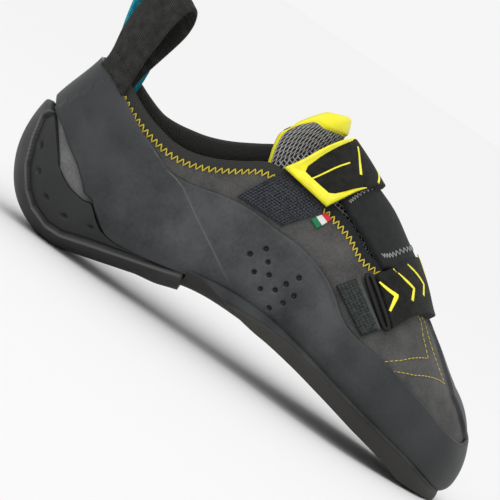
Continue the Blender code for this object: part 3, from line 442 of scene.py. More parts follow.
def creases(points):
    """The soft troughs and ridges, as a distance from the surface."""
    x, z = points[..., 0], points[..., 2]
    total = np.zeros(x.shape)
    for x0, z0, x1, z1, width, depth in CREASES:
        far, way = along_line(((x0, z0), (x1, z1)), x, z)
        ends = np.sin(math.pi * np.clip(way, 0.02, 0.98)) ** 0.5
        total -= depth * MM * np.exp(-((far / (width * MM)) ** 2)) * ends
    return total


def ripple(points, size, depth, seed=0.0):
    """Slow irregular waves, as a distance from the surface."""
    x, y, z = (points[..., k] / size for k in range(3))
    wave = np.sin(x * 2.1 + 1.7 * np.sin(z * 1.3 + seed))
    wave += np.sin(z * 2.7 + y * 1.9 + 2.1 * np.sin(x * 0.9 + seed))
    return depth * wave / 2


def crown(distance, radius, share=0.3):
    """A rounded edge: the share of the full thickness at a distance from the edge."""
    t = np.clip(distance / radius, 0, 1)
    return share + (1 - share) * np.sqrt(1 - (1 - t) ** 2)


def arc(points, axis):
    step = np.linalg.norm(np.diff(points, axis=axis), axis=-1)
    run = np.cumsum(step, axis=axis)
    return np.concatenate([np.zeros_like(np.take(run, [0], axis=axis)), run], axis=axis)


def border(points):
    """How far each point of a grid is from the grid's four edges, and its place along and across."""
    along, across = arc(points, 0), arc(points, 1)
    ends = np.minimum(along, along[-1:] - along)
    sides = np.minimum(across, across[:, -1:] - across)
    return np.minimum(ends, sides), along, across


def finer_at_ends(count):
    t = np.linspace(0, 1, count)
    return 0.55 * t + 0.45 * (0.5 - 0.5 * np.cos(math.pi * t))


class Sash:
    """A strap's field over the last: a runs along it from the outer side, c across it from the rear edge."""

    def __init__(self, rows):
        corners = []
        for side, rear_along, rear_height, front_along, front_height in rows:
            for along, height in ((rear_along, rear_height), (front_along, front_height)):
                if side == RIDGE:
                    corners.append((along * LENGTH, 0.0))
                else:
                    u, v = locate(side, along * LENGTH, height * INSTEP)
                    corners.append((base_of(u), side * (1 - v)))
        self.table = np.array(corners).reshape(len(rows), 4)
        self.over = lambda a: CLEAR + 0 * a

    def place(self, a, c):
        rows = np.arange(len(self.table))
        a, c = np.broadcast_arrays(np.asarray(a, float), np.asarray(c, float))
        curve = cubic if len(rows) > 2 else np.interp
        rear_x, rear_s, front_x, front_s = (curve(a * rows[-1], rows, self.table[:, k]) for k in range(4))
        base = rear_x * (1 - c) + front_x * c
        ring = rear_s * (1 - c) + front_s * c
        return np.where(ring < 0, side_u(LATERAL, base), side_u(MEDIAL, base)), 1 - np.abs(ring)

    def skin(self, a, c, offset):
        u, v = self.place(a, c)
        return skin(u, v, offset + 0 * v)

    def find(self, spots, a_range=(0.0, 0.55)):
        """The a and c of places seen from the outer side, given as pixels of the photograph."""
        a, c = np.meshgrid(np.linspace(*a_range, 240), np.linspace(-0.02, 1.02, 90), indexing="ij")
        grid = seen(self.skin(a, c, self.over(a) + STRAP_THICK))
        found = []
        for spot in spots:
            k = np.argmin(np.sum((grid - spot) ** 2, axis=-1))
            found.append((a.flat[k], c.flat[k]))
        return np.array(found)


def from_photo(px, py):
    """The shoe's x and z at a pixel of the photograph."""
    along = px * math.cos(PHOTO_TURN) + py * math.sin(PHOTO_TURN)
    up = px * math.sin(PHOTO_TURN) - py * math.cos(PHOTO_TURN)
    return (along - PHOTO_HEEL) * PHOTO_PIXEL, (up + PHOTO_FLOOR) * PHOTO_PIXEL


def camera_frame():
    """The photograph's camera over the modelling place: where it stands, its right, its up and its look."""
    look = np.array([0.0, math.cos(CAMERA_TILT), -math.sin(CAMERA_TILT)])
    upright = np.array([0.0, math.sin(CAMERA_TILT), math.cos(CAMERA_TILT)])
    side = np.array([1.0, 0.0, 0.0])
    cos, sin = math.cos(PHOTO_TURN), math.sin(PHOTO_TURN)
    x, z = from_photo(*CAMERA_AIM)
    far = PHOTO_SIZE * PHOTO_PIXEL * CAMERA_LENS / CAMERA_SENSOR
    place = np.array([x, CAMERA_AIM_DEPTH, z]) - look * far
    return place, cos * side + sin * upright, cos * upright - sin * side, look


def seen(points):
    """The pixels of the photograph where places of the shoe are seen."""
    place, right, up, look = camera_frame()
    way = points - place
    scale = PHOTO_SIZE * CAMERA_LENS / CAMERA_SENSOR / (way @ look)
    return PHOTO_SIZE / 2 + np.stack([(way @ right) * scale, -(way @ up) * scale], axis=-1)


def measured(points):
    """The x and z that the photograph's flat scale gives to places of either side, seen on the outer one."""
    mirrored = points * np.array([1.0, 0.0, 1.0]) - np.abs(points) * np.array([0.0, 1.0, 0.0])
    spots = seen(mirrored)
    return from_photo(spots[..., 0], spots[..., 1])


def on_upper(x, z):
    """The u and v of the outer side that are seen where the photograph's flat scale gives x and z."""
    aim = np.array([x, z])
    for _ in range(5):
        place = locate(LATERAL, *aim)
        aim += 0.8 * (np.array([x, z]) - measured(last_point(*place)))
    return place


def bump(a):
    return smooth(a / 0.22) * smooth((1 - a) / 0.22)


def strap_over(a):
    at_end = CLEAR + PATCH_THICK + CLEAR
    return at_end + (CLEAR + PANEL_THICK + CLEAR - at_end) * bump(a)


def find_shift():
    """The way from the modelling place to the frame's, read from the top strap's box."""
    a, c = np.linspace(0, 1, 15)[:, None], np.linspace(0, 1, 5)
    field = Sash(TOP_STRAP)
    points = np.vstack([
        field.skin(a, c, strap_over(a) + over).reshape(-1, 3) for over in (0.0, STRAP_THICK)
    ])
    return np.array(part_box("strap_top")[0]) - points.min(axis=0)


SHIFT = find_shift()


def finish_mesh(name, points, faces, looks, indices=None, sharp=50, weld=False, layers=None):
    """An object of the scene from points in the modelling place; declare sets it on the shoe's only body."""
    faces = [list(face) for face in faces]
    mesh = bpy.data.meshes.new(name)
    mesh.from_pydata((np.asarray(points) + SHIFT).tolist(), [], faces)
    if indices is not None:
        mesh.polygons.foreach_set("material_index", np.asarray(indices, np.int32))
    for key, values in (layers or {}).items():
        kind = "FLOAT_VECTOR" if values.shape[-1] == 3 and values.ndim > 1 else "FLOAT"
        layer = mesh.attributes.new(key, kind, "POINT")
        part = "vector" if kind == "FLOAT_VECTOR" else "value"
        layer.data.foreach_set(part, values.astype(np.float32).ravel())
    work = bmesh.new()
    work.from_mesh(mesh)
    if weld:
        bmesh.ops.remove_doubles(work, verts=work.verts, dist=2e-6)
    bmesh.ops.recalc_face_normals(work, faces=work.faces)
    work.to_mesh(mesh)
    work.free()
    mesh.shade_smooth()
    mesh.set_sharp_from_angle(angle=math.radians(sharp))
    for look in looks:
        mesh.materials.append(look)
    piece = bpy.data.objects.new(name, mesh)
    bpy.context.scene.collection.objects.link(piece)
    return piece


def loft(name, outer, inner, looks, closed=False, layers=None, weld=False, sharp=50):
    """A closed piece from an outer and an inner grid. Layers are values on the outer one."""
    points = np.concatenate([outer, inner[:, ::-1]], axis=1)
    rows, loop = points.shape[:2]
    i, j = np.arange(rows if closed else rows - 1)[:, None], np.arange(loop)
    following, beside = (i + 1) % rows, (j + 1) % loop
    here, ahead = i * loop, following * loop
    quads = np.stack([here + j, ahead + j, ahead + beside, here + beside], axis=-1)
    faces = quads.reshape(-1, 4).tolist()
    inside = np.broadcast_to(j >= outer.shape[1] - 1, quads.shape[:2]).ravel().astype(int).tolist()
    if not closed:
        faces += [list(range(loop)), list(range((rows - 1) * loop, rows * loop))]
        inside += [0, 0]
    flat = np.stack([arc(outer, 0), arc(outer, 1), np.zeros(outer.shape[:2])], axis=-1)
    values = {"flat": flat, **(layers or {})}
    full = {}
    for key, value in values.items():
        tail = np.repeat(value[:, -1:], inner.shape[1], axis=1)
        whole = np.concatenate([value, tail], axis=1)
        full[key] = whole.reshape(-1, 3) if key == "flat" else whole.ravel()
    indices = inside if len(looks) > 1 else None
    return finish_mesh(name, points.reshape(-1, 3), faces, looks, indices, sharp, weld, full)


def declare(piece, slot, *nodes):
    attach(piece, "root")
    if nodes:
        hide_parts(*nodes)
    return piece


def strokes(name, paths, look, slot, width, height, taper=0.45, sides=6):
    """Threads or thin raised lines: each path is points, the surface's normals there, and widths or None."""
    points, faces = [], []
    turn = np.linspace(0, 2 * math.pi, sides, endpoint=False)
    for path, normals, widths in paths:
        tangent = np.gradient(path, axis=0)
        tangent /= np.maximum(np.linalg.norm(tangent, axis=1, keepdims=True), 1e-9)
        side = np.cross(tangent, normals)
        side /= np.maximum(np.linalg.norm(side, axis=1, keepdims=True), 1e-9)
        count = len(path)
        if widths is None:
            ends = np.minimum(np.arange(count), np.arange(count)[::-1])
            widths = width * np.where(ends == 0, taper, 1.0)
        start = len(points)
        ring = (
            path[:, None]
            + side[:, None] * (np.cos(turn)[None, :, None] * np.asarray(widths)[:, None, None] / 2)
            + normals[:, None] * (np.sin(turn)[None, :, None] * height)
        )
        points.extend(ring.reshape(-1, 3))
        for i in range(count - 1):
            for j in range(sides):
                a, b = start + i * sides, start + (i + 1) * sides
                faces.append((a + j, b + j, b + (j + 1) % sides, a + (j + 1) % sides))
        final = start + (count - 1) * sides
        faces += [tuple(range(start, start + sides)), tuple(range(final, final + sides))]
    return declare(finish_mesh(name, points, faces, [look], sharp=60), slot)


class Look:
    """A material and its nodes."""

    def __init__(self, name, colour, roughness, **sockets):
        self.material = bpy.data.materials.new(name)
        self.material.use_nodes = True
        self.tree = self.material.node_tree
        self.shader = self.tree.nodes["Principled BSDF"]
        self.shader.inputs["Base Color"].default_value = (*colour, 1.0)
        self.shader.inputs["Roughness"].default_value = roughness
        for key, value in sockets.items():
            self.shader.inputs[key.replace("_", " ")].default_value = value
        self.material.diffuse_color = (*colour, 1.0)
        self.place = self.add("TexCoord", 3)

    def add(self, kind, output=0, inputs=None, **props):
        made = self.tree.nodes.new("ShaderNode" + kind)
        for key, value in props.items():
            setattr(made, key, value)
        for key, value in (inputs or {}).items():
            if isinstance(value, bpy.types.NodeSocket):
                self.tree.links.new(value, made.inputs[key])
            else:
                made.inputs[key].default_value = value
        return made.outputs[output]

    def noise(self, size, detail=3.0, place=None):
        return self.add("TexNoise", 0, {"Vector": place or self.place, "Scale": 1 / size, "Detail": detail})

    def maths(self, operation, a, b=0.0):
        return self.add("Math", 0, {0: a, 1: b}, operation=operation)

    def span(self, value, low, high, to_low=0.0, to_high=1.0):
        return self.add("MapRange", 0, {0: value, 1: low, 2: high, 3: to_low, 4: to_high})

    def mix(self, factor, a, b):
        a, b = ((*one, 1.0) if isinstance(one, tuple) else one for one in (a, b))
        return self.add("Mix", 2, {0: factor, 6: a, 7: b}, data_type="RGBA")

    def layer(self, name):
        return self.add("Attribute", 2, attribute_name=name)

    def flat(self):
        """The places along and across a piece, measured on its surface."""
        place = self.add("Attribute", 1, attribute_name="flat")
        return self.add("SeparateXYZ", 0, {0: place}), self.add("SeparateXYZ", 1, {0: place})

    def wave(self, value, period):
        """From 0 to 1 and back in each period."""
        turned = self.maths("MULTIPLY", value, 2 * math.pi / period)
        return self.span(self.maths("SINE", turned), -1.0, 1.0)

    def relief(self, height, depth, strength=1.0):
        last = self.shader.inputs["Normal"].links
        inputs = {"Height": height, "Distance": depth, "Strength": strength}
        if last:
            inputs["Normal"] = last[0].from_socket
        self.set("Normal", self.add("Bump", 0, inputs))

    def set(self, socket, value):
        self.tree.links.new(value, self.shader.inputs[socket])

    def colour(self):
        """What gives the base colour so far."""
        return self.shader.inputs["Base Color"].links[0].from_socket


def rubber_look(name, dark, light, rough=(0.42, 0.62)):
    """Smooth dyed rubber: fine pores, and slow clouds of a paler dust, kept full in the middle as a painted
    sheen and dimmed towards heel and toe as painted shade.
    """
    look = Look(name, dark, 0.5, Specular_IOR_Level=0.35)
    clouds = look.noise(0.022, 4.0)
    fine = look.noise(0.0016, 3.0)
    dust = look.span(look.maths("ADD", clouds, look.maths("MULTIPLY", fine, 0.25)), 0.42, 0.80)
    along = look.add("SeparateXYZ", 0, {0: look.place})
    # Painted sheen and shade: the dust is full in the middle of the shoe and dimmed towards heel and toe.
    painted_sheen = look.span(look.maths("ABSOLUTE", look.maths("ADD", along, 0.012)), 0.02, 0.09, 1.0, 0.35)
    look.set("Base Color", look.mix(look.maths("MULTIPLY", dust, painted_sheen), dark, light))
    look.set("Roughness", look.span(clouds, 0.3, 0.7, *rough))
    look.relief(look.noise(0.0006, 4.0), 0.00006, 0.5)
    look.relief(look.noise(0.009, 2.0), 0.0004, 0.25)
    return look


def suede_shade(look, dark, light):
    """Microsuede: brushed clouds and a fine nap."""
    brushed = look.noise(0.011, 4.0)
    nap = look.noise(0.0009, 4.0)
    mixed = look.maths("ADD", look.maths("MULTIPLY", brushed, 0.6), look.maths("MULTIPLY", nap, 0.5))
    return look.mix(look.span(mixed, 0.35, 0.75), dark, light), nap


def weave_look(name, dark, light, along=0.0011, across=0.0009, depth=0.0003, rough=0.88, sheen=0.03):
    """A woven band: picks across it and warp threads along it, with some threads paler."""
    look = Look(name, dark, rough, Sheen_Weight=sheen, Specular_IOR_Level=0.2)
    a, c = look.flat()
    picks, warps = look.wave(a, along), look.wave(c, across)
    worn = look.noise(0.0035, 4.0)
    both = look.maths("ADD", look.maths("MULTIPLY", picks, 0.6), look.maths("MULTIPLY", warps, 0.4))
    tint = look.maths("MULTIPLY", both, look.span(worn, 0.3, 0.7, 0.35, 1.0))
    look.set("Base Color", look.mix(look.span(tint, 0.2, 0.9), dark, light))
    look.relief(both, depth, 0.8)
    return look.material


def plain_look(name, colour, rough, grain=0.0005, depth=0.00005, **sockets):
    look = Look(name, colour, rough, **sockets)
    pale = tuple(min(1.0, part * 1.35) for part in colour)
    look.set("Base Color", look.mix(look.span(look.noise(grain * 8, 4.0), 0.35, 0.75), colour, pale))
    smoother, rougher = max(rough - 0.08, 0.05), rough + 0.06
    look.set("Roughness", look.span(look.noise(grain * 20, 3.0), 0.3, 0.7, smoother, rougher))
    look.relief(look.noise(grain, 3.0), depth, 0.6)
    return look.material


RUBBER, RUBBER_PALE = (0.0145, 0.0158, 0.0166), (0.062, 0.065, 0.068)
SUEDE, SUEDE_PALE = (0.042, 0.0412, 0.0405), (0.096, 0.094, 0.092)
YELLOW = (0.74, 0.68, 0.012)
DARK_CLOTH, PALE_CLOTH = (0.006, 0.006, 0.005), (0.030, 0.031, 0.028)


def upper_look():
    """Microsuede, painted paler on the heel's lower back as painted light, with rubber drawn over it at the
    big toe where the layer says so.
    """
    look = Look("shoe_upper", SUEDE, 0.92, Sheen_Weight=0.06, Sheen_Roughness=0.5, Specular_IOR_Level=0.2)
    cloth, nap = suede_shade(look, SUEDE, SUEDE_PALE)
    # Painted light: a paler copy of the suede on the heel's lower back, where the heel layer says so.
    heel, _ = suede_shade(look, (0.10, 0.10, 0.10), (0.19, 0.19, 0.188))
    cloth = look.mix(look.layer("heel"), cloth, heel)
    mask = look.span(look.layer("toe_rubber"), -0.00025, 0.00025)
    rubber = look.mix(look.span(look.noise(0.022, 4.0), 0.4, 0.8), RUBBER, RUBBER_PALE)
    look.set("Base Color", look.mix(mask, cloth, rubber))
    look.set("Roughness", look.span(mask, 0.0, 1.0, 0.92, 0.52))
    look.relief(look.maths("MULTIPLY", nap, look.span(mask, 0.0, 1.0, 1.0, 0.1)), 0.00025, 0.7)
    return look.material


def tongue_look():
    """An open knit over a dark ground, and a smooth yellow pad at the top where the layer says so."""
    look = Look("tongue_knit", (0.05, 0.05, 0.05), 0.8, Specular_IOR_Level=0.3, Sheen_Weight=0.1)
    a, c = look.flat()
    yarns = look.maths("MAXIMUM", look.wave(a, 0.0023), look.wave(c, 0.0021))
    fine = look.maths("MULTIPLY", look.wave(a, 0.00075), 0.25)
    height = look.maths("ADD", look.span(yarns, 0.5, 1.0), fine)
    knit = look.mix(look.span(height, 0.55, 1.1), (0.010, 0.010, 0.014), (0.46, 0.45, 0.44))
    mask = look.span(look.layer("pad"), -0.0002, 0.0002)
    yellow = look.mix(look.noise(0.004, 3.0), (0.76, 0.70, 0.012), (0.84, 0.78, 0.02))
    look.set("Base Color", look.mix(mask, knit, yellow))
    look.set("Roughness", look.span(mask, 0.0, 1.0, 0.85, 0.5))
    look.relief(look.maths("MULTIPLY", height, look.span(mask, 0.0, 1.0, 1.0, 0.03)), 0.0005, 0.8)
    return look.material


def ribbed_look():
    """Ribbed webbing with fuzzy blocks, and a paler folded end where the layer says so."""
    look = Look("ribbed_webbing", DARK_CLOTH, 0.9, Specular_IOR_Level=0.2)
    a, c = look.flat()
    ribs = look.maths("MULTIPLY", look.wave(a, 0.0017), look.wave(c, 0.0013))
    fuzz = look.noise(0.0011, 5.0)
    tint = look.maths("ADD", look.maths("MULTIPLY", ribs, 0.30), look.maths("MULTIPLY", fuzz, 0.95))
    cloth = look.mix(look.span(tint, 0.3, 0.95), (0.008, 0.010, 0.009), (0.058, 0.066, 0.061))
    fold = look.mix(fuzz, (0.030, 0.034, 0.033), (0.085, 0.090, 0.088))
    look.set("Base Color", look.mix(look.span(look.layer("fold"), -0.0003, 0.0003), cloth, fold))
    look.relief(tint, 0.0004, 0.8)
    return look.material


def fuzzy_look():
    """The napped closure patch: low ribs both ways under a ragged pile."""
    look = Look("fuzzy_patch", (0.009, 0.010, 0.012), 1.0, Sheen_Weight=0.08, Specular_IOR_Level=0.15)
    a, c = look.flat()
    pile = look.noise(0.0009, 5.0)
    ribs = look.maths("ADD", look.wave(a, 0.0016), look.wave(c, 0.0016))
    tint = look.maths("ADD", look.maths("MULTIPLY", ribs, 0.22), look.maths("MULTIPLY", pile, 0.8))
    shade = look.span(tint, 0.42, 0.95)
    look.set("Base Color", look.mix(shade, (0.007, 0.008, 0.010), (0.088, 0.096, 0.110)))
    look.relief(tint, 0.0008, 1.0)
    return look.material


def binding_look():
    """The collar's tape, darker beside the closure patch where the layer says so."""
    look = Look("binding_tape", (0.018, 0.018, 0.017), 0.9, Specular_IOR_Level=0.2)
    a, c = look.flat()
    both = look.maths("ADD", look.wave(a, 0.0008), look.wave(c, 0.0007))
    tape = look.mix(look.span(both, 0.4, 1.8), (0.022, 0.022, 0.021), (0.058, 0.057, 0.053))
    dark = look.mix(look.noise(0.0010, 5.0), (0.008, 0.009, 0.010), (0.028, 0.030, 0.032))
    look.set("Base Color", look.mix(look.layer("throat"), tape, dark))
    look.relief(both, 0.0002, 0.8)
    return look.material


def tag_look():
    """A woven tag in three plain bands."""
    look = Look("tag_bands", (0.65, 0.65, 0.62), 0.7)
    share = look.layer("band")
    first = look.mix(look.span(share, 0.325, 0.345), (0.0, 0.17, 0.06), (0.72, 0.72, 0.70))
    look.set("Base Color", look.mix(look.span(share, 0.655, 0.675), first, (0.60, 0.02, 0.02)))
    a, c = look.flat()
    look.relief(look.maths("ADD", look.wave(a, 0.0007), look.wave(c, 0.0006)), 0.00015, 0.6)
    return look.material


LOOKS = {
    "upper": upper_look(),
    "lining": weave_look(
        "lining_knit", (0.010, 0.010, 0.009), (0.040, 0.038, 0.032), 0.0014, 0.0012, 0.0003, 0.95
    ),
    "binding": binding_look(),
    "loop": weave_look("loop_webbing", (0.012, 0.012, 0.011), (0.052, 0.052, 0.048), 0.0009, 0.0008, 0.0002),
    "webbing": weave_look("strap_webbing", DARK_CLOTH, PALE_CLOTH, 0.0009, 0.0008, 0.0002),
    "ribbed": ribbed_look(),
    "stretch": weave_look(
        "stretch_panel", (0.012, 0.014, 0.014), (0.026, 0.029, 0.029), 0.0006, 0.0006, 0.0001
    ),
    "fuzzy": fuzzy_look(),
    "yellow": plain_look("yellow_moulding", YELLOW, 0.42, 0.0008, 0.00003, Coat_Weight=0.15),
    "gold": plain_look("gold_thread", (0.47, 0.37, 0.018), 0.6, 0.0003, 0.0001, Sheen_Weight=0.2),
    "grey": plain_look("grey_thread", (0.27, 0.27, 0.27), 0.7, 0.0003, 0.0001),
    # Near black: the wire's own dark metal, and on the rings also painted shade for the shadowed gap between
    # webbing and strap.
    "wire": plain_look("dark_wire", (0.004, 0.004, 0.004), 0.50, 0.001, 0.00002, Specular_IOR_Level=0.25),
    "teal": weave_look("teal_webbing", (0.0, 0.16, 0.22), (0.02, 0.42, 0.52), 0.0011, 0.0009, 0.0003),
    "tongue": tongue_look(),
    "tag": tag_look(),
}


def x_stations(extra=None, step=1.25 * MM):
    """Cross-sections along the shoe, closer together where a range is given."""
    xs = np.arange(HEEL_AXIS, TOE_AXIS, step)
    if extra:
        xs = np.concatenate([xs[(xs < extra[0]) | (xs > extra[1])], np.arange(*extra, 0.5 * MM)])
    return np.unique(np.append(xs, TOE_AXIS))


def all_round(xs, heel_count, toe_count):
    heel = np.linspace(MEDIAL_U[0] - 1.0, LATERAL_U[0], heel_count + 2)[1:-1]
    toe = np.linspace(LATERAL_U[-1], MEDIAL_U[-1], toe_count + 2)[1:-1]
    return np.concatenate([side_u(LATERAL, xs), toe, side_u(MEDIAL, xs[::-1]), heel])


def between(us, low, top, count):
    """The v values of each section between two edges, evenly spaced, and the ways up to the top edge."""
    fine = np.linspace(0, 1, 160)
    share = np.linspace(0, 1, count)
    vs, above = [], []
    for u, first, final in zip(us, low, top, strict=True):
        steps = np.linalg.norm(np.diff(last_point(u, fine), axis=0), axis=1)
        run = np.concatenate([[0.0], np.cumsum(steps)])
        start, end = np.interp(first, fine, run), np.interp(final, fine, run)
        at = start + (end - start) * share
        v = np.interp(at, run, fine)
        v[0], v[-1] = first, final
        vs.append(v)
        above.append(end - at)
    return np.array(vs), np.array(above)


def slope_of(values, points):
    """How fast values change along a grid's surface, and at least a quarter."""
    slopes = []
    for axis in (0, 1):
        steps = np.linalg.norm(np.gradient(points, axis=axis), axis=-1)
        slopes.append(np.gradient(values, axis=axis) / np.maximum(steps, 1e-6))
    return np.clip(np.hypot(*slopes), 0.25, 1.0)


def edge_distance(points, edge):
    """Each point's distance from an edge given as a row of points."""
    tree = kdtree.KDTree(len(edge))
    for k, spot in enumerate(edge):
        tree.insert(spot, k)
    tree.balance()
    flat = points.reshape(-1, 3)
    return np.array([tree.find(spot)[2] for spot in flat]).reshape(points.shape[:-1])


collar = round_edge(COLLAR_LATERAL, COLLAR_MEDIAL)
rand_top = round_edge(RAND_TOP_LATERAL, RAND_TOP_MEDIAL)
rand_low = rand_low_edge()


def collar_or_ridge(u):
    """The upper's top edge: the collar and the throat, then the ridge in front of the throat."""
    base = base_of(u)
    share = smooth((base - THROAT_END * LENGTH) / (8 * MM) + 0.5)
    return np.where(share >= 1, 1.0, collar(u) * (1 - share) + share)


def make_upper():
    us = all_round(x_stations(), 40, 60)
    top = collar_or_ridge(us)
    vs, above = between(us, np.full(len(us), UPPER_UNDER), top, 84)
    grid_u = np.repeat(us[:, None], vs.shape[1], axis=1)
    points = last_point(grid_u, vs)
    x, y = points[..., 0], points[..., 1]
    toe, _ = along_line(TOE_RUBBER, x, y)
    far_from_toe = (x < TOE_RUBBER_FROM * LENGTH) | (vs < 0.5)
    toe = np.where(far_from_toe, -FAR, toe)
    relief = creases(points) + ripple(points, 0.009, 0.00012)
    relief *= 1 - smooth(1 - above / COLLAR_FADE) * (top[:, None] < 0.999)
    offset = relief + TOE_RUBBER_THICK * smooth(toe / TOE_RUBBER_WALL)
    outer = skin(grid_u, vs, offset)
    inner = skin(grid_u[:, ::4], vs[:, ::4], -UPPER_WALL + 0 * vs[:, ::4])
    inner[:, -1] = skin(us, vs[:, -1], np.full(len(us), -UPPER_WALL))
    # Painted light: the heel layer marks the heel's lower back, where the suede is painted paler.
    heel = smooth((0.20 * LENGTH - x) / (0.06 * LENGTH)) * smooth((0.080 - points[..., 2]) / 0.030)
    layers = {"toe_rubber": toe, "heel": heel}
    piece = loft("upper_skin", outer, inner, [LOOKS["upper"], LOOKS["lining"]], True, layers, True)
    return declare(piece, "suede", "upper")


def throat_path(step, end=0.672):
    """Sections along the collar's edge, from the inner throat round the heel to the outer throat."""
    start, stop = side_u(MEDIAL, end * LENGTH) - 1.0, side_u(LATERAL, end * LENGTH)
    fine = np.linspace(start, stop, 1600)
    edge = last_point(fine, collar(fine))
    run = np.concatenate([[0.0], np.cumsum(np.linalg.norm(np.diff(edge, axis=0), axis=1))])
    return np.interp(np.arange(0, run[-1], step), run, fine)


def below_edge(u, v, distance):
    """The v that lies a distance under the place u, v, along the surface."""
    speed = np.linalg.norm(last_point(u, v) - last_point(u, v - 0.01), axis=-1) / 0.01
    return v - distance / speed


def make_binding():
    """The dark tape folded over the collar's edge, and the softer lining roll inside it."""
    us = throat_path(1.2 * MM)
    edge = collar(us)
    section = (
        (5.0, 0.05), (4.9, 0.55), (4.3, 0.80), (2.5, 0.90), (1.0, 0.95), (0.0, 0.75), (-0.6, 0.1),
        (-0.9, -0.9), (-0.8, -2.0), (-0.2, -2.9), (1.0, -3.4), (3.5, -3.5), (6.5, -3.4), (8.0, -2.6),
        (8.3, -2.0),
    )
    base = base_of(us)
    medial = last_point(us, edge)[:, 1] > 0
    behind_throat = smooth((base - 0.18 * LENGTH) / 0.02) * smooth((0.60 * LENGTH - base) / 0.02)
    rise = BINDING_RISE * behind_throat * medial
    rows = []
    for down, out in section:
        lifted = down * MM - rise * smooth((4.5 - down) / 3)
        rows.append(skin(us, below_edge(us, edge, lifted), np.full(len(us), out * MM)))
    under = np.full(len(us), -1.0 * MM)
    inner = [skin(us, below_edge(us, edge, down * MM), under) for down in (4.9, 3.0, 1.0)]
    outer = np.stack(rows, axis=1)
    throat = smooth((base[:, None] - 0.47 * LENGTH) / 0.006) * np.ones(outer.shape[:2])
    layers = {"throat": throat}
    inner = np.stack(inner, axis=1)
    piece = loft("collar_binding", outer, inner, [LOOKS["binding"]], layers=layers, sharp=70)
    declare(piece, "webbing")


def zigzag(us, near, far, offsets, base_edge):
    """One slanting stitch for each step along an edge, from one distance under it to the other."""
    paths = []
    for k in range(len(us) - 1):
        ends = (near, far) if k % 2 == 0 else (far, near)
        share = np.linspace(0, 1, 5)
        u = us[k] + (us[k + 1] - us[k]) * share
        down = ends[0] + (ends[1] - ends[0]) * share
        lift = offsets[0] + (offsets[1] - offsets[0]) * np.abs(share - (k % 2))
        v = below_edge(u, base_edge(u), down)
        arch = 0.0003 * np.sin(math.pi * share)
        paths.append((skin(u, v, lift + arch), last_normal(u, v), None))
    return paths


def make_collar_stitch():
    us = throat_path(1.5 * MM)
    paths = zigzag(us, 3.7 * MM, 6.6 * MM, (0.95 * MM, 0.2 * MM), collar)
    strokes("collar_stitch", paths, LOOKS["gold"], "yellow", 0.62 * MM, 0.28 * MM)


def make_rand():
    us = all_round(x_stations((112 * MM, 151 * MM), 1.4 * MM), 44, 50)
    low, top = rand_low(us), rand_top(us)
    vs, _ = between(us, low, top, 100)
    grid_u = np.repeat(us[:, None], vs.shape[1], axis=1)
    points = last_point(grid_u, vs)
    y = points[..., 1]
    x, z = measured(skin(grid_u, vs, np.full(vs.shape, RAND_THICK)))
    near_top = edge_distance(points, last_point(us, top))
    near_low = edge_distance(points, last_point(us, low))
    near = np.minimum(near_top, near_low)
    thick = RAND_THICK * np.minimum(crown(near_top, 1.3 * MM, 0.25), crown(near_low, 0.7 * MM, 0.6))
    band, way = along_line(BAND_EDGE, x, z)
    fade = 1 - smooth((way - 0.75) / 0.22)
    behind = (y < 0.002) | (x < 0.17 * LENGTH)
    step = BAND_STEP * smooth(0.5 - band / BAND_WALL) * fade * behind
    hole_far = np.full(x.shape, FAR)
    for hole_x, hole_z in PERFORATIONS:
        hole_far = np.minimum(hole_far, np.hypot(x - hole_x * MM, z - hole_z * MM))
    hole_far = np.where(y < 0, hole_far, FAR)
    holes = smooth((HOLE_RADIUS - hole_far) / HOLE_WALL)
    relief = creases(points) + ripple(points, 0.014, 0.00016, 1.0)
    offset = CLEAR + thick + step * smooth(near / MM) - holes * HOLE_DEPTH
    outer = skin(grid_u, vs, offset + relief * smooth(near / EDGE_FADE))
    inner = skin(grid_u[:, ::12], vs[:, ::12], CLEAR + 0 * vs[:, ::12])
    layers = {"holes": hole_far, "band": band, "band_share": fade * behind * (way > 0.1)}
    piece = loft("rand_skin", outer, inner, [rand_look()], True, layers)
    return declare(piece, "rubber", "rand")


def rand_look():
    """The rand's rubber, with painted shade making its small holes dark, and a painted highlight as a pale
    line at the heel band's front edge.
    """
    look = rubber_look("rand_side_rubber", RUBBER, RUBBER_PALE)
    colour = look.colour()
    band, share = look.layer("band"), look.layer("band_share")
    # Painted highlight: a pale line along the heel band's raised front edge.
    line = look.span(look.maths("ABSOLUTE", band), 0.0001, 0.0006, 0.5, 0.0)
    colour = look.mix(look.maths("MULTIPLY", line, share), colour, (0.15, 0.155, 0.155))
    look.relief(look.maths("MULTIPLY", look.span(band, -0.0005, 0.0003, 1.0, 0.0), share), 0.0007, 0.8)
    # Painted shade: the holes' hollows are painted near black.
    inside = look.span(look.layer("holes"), 0.0009, 0.0013, 1.0, 0.0)
    look.set("Base Color", look.mix(inside, colour, (0.002, 0.002, 0.002)))
    return look.material


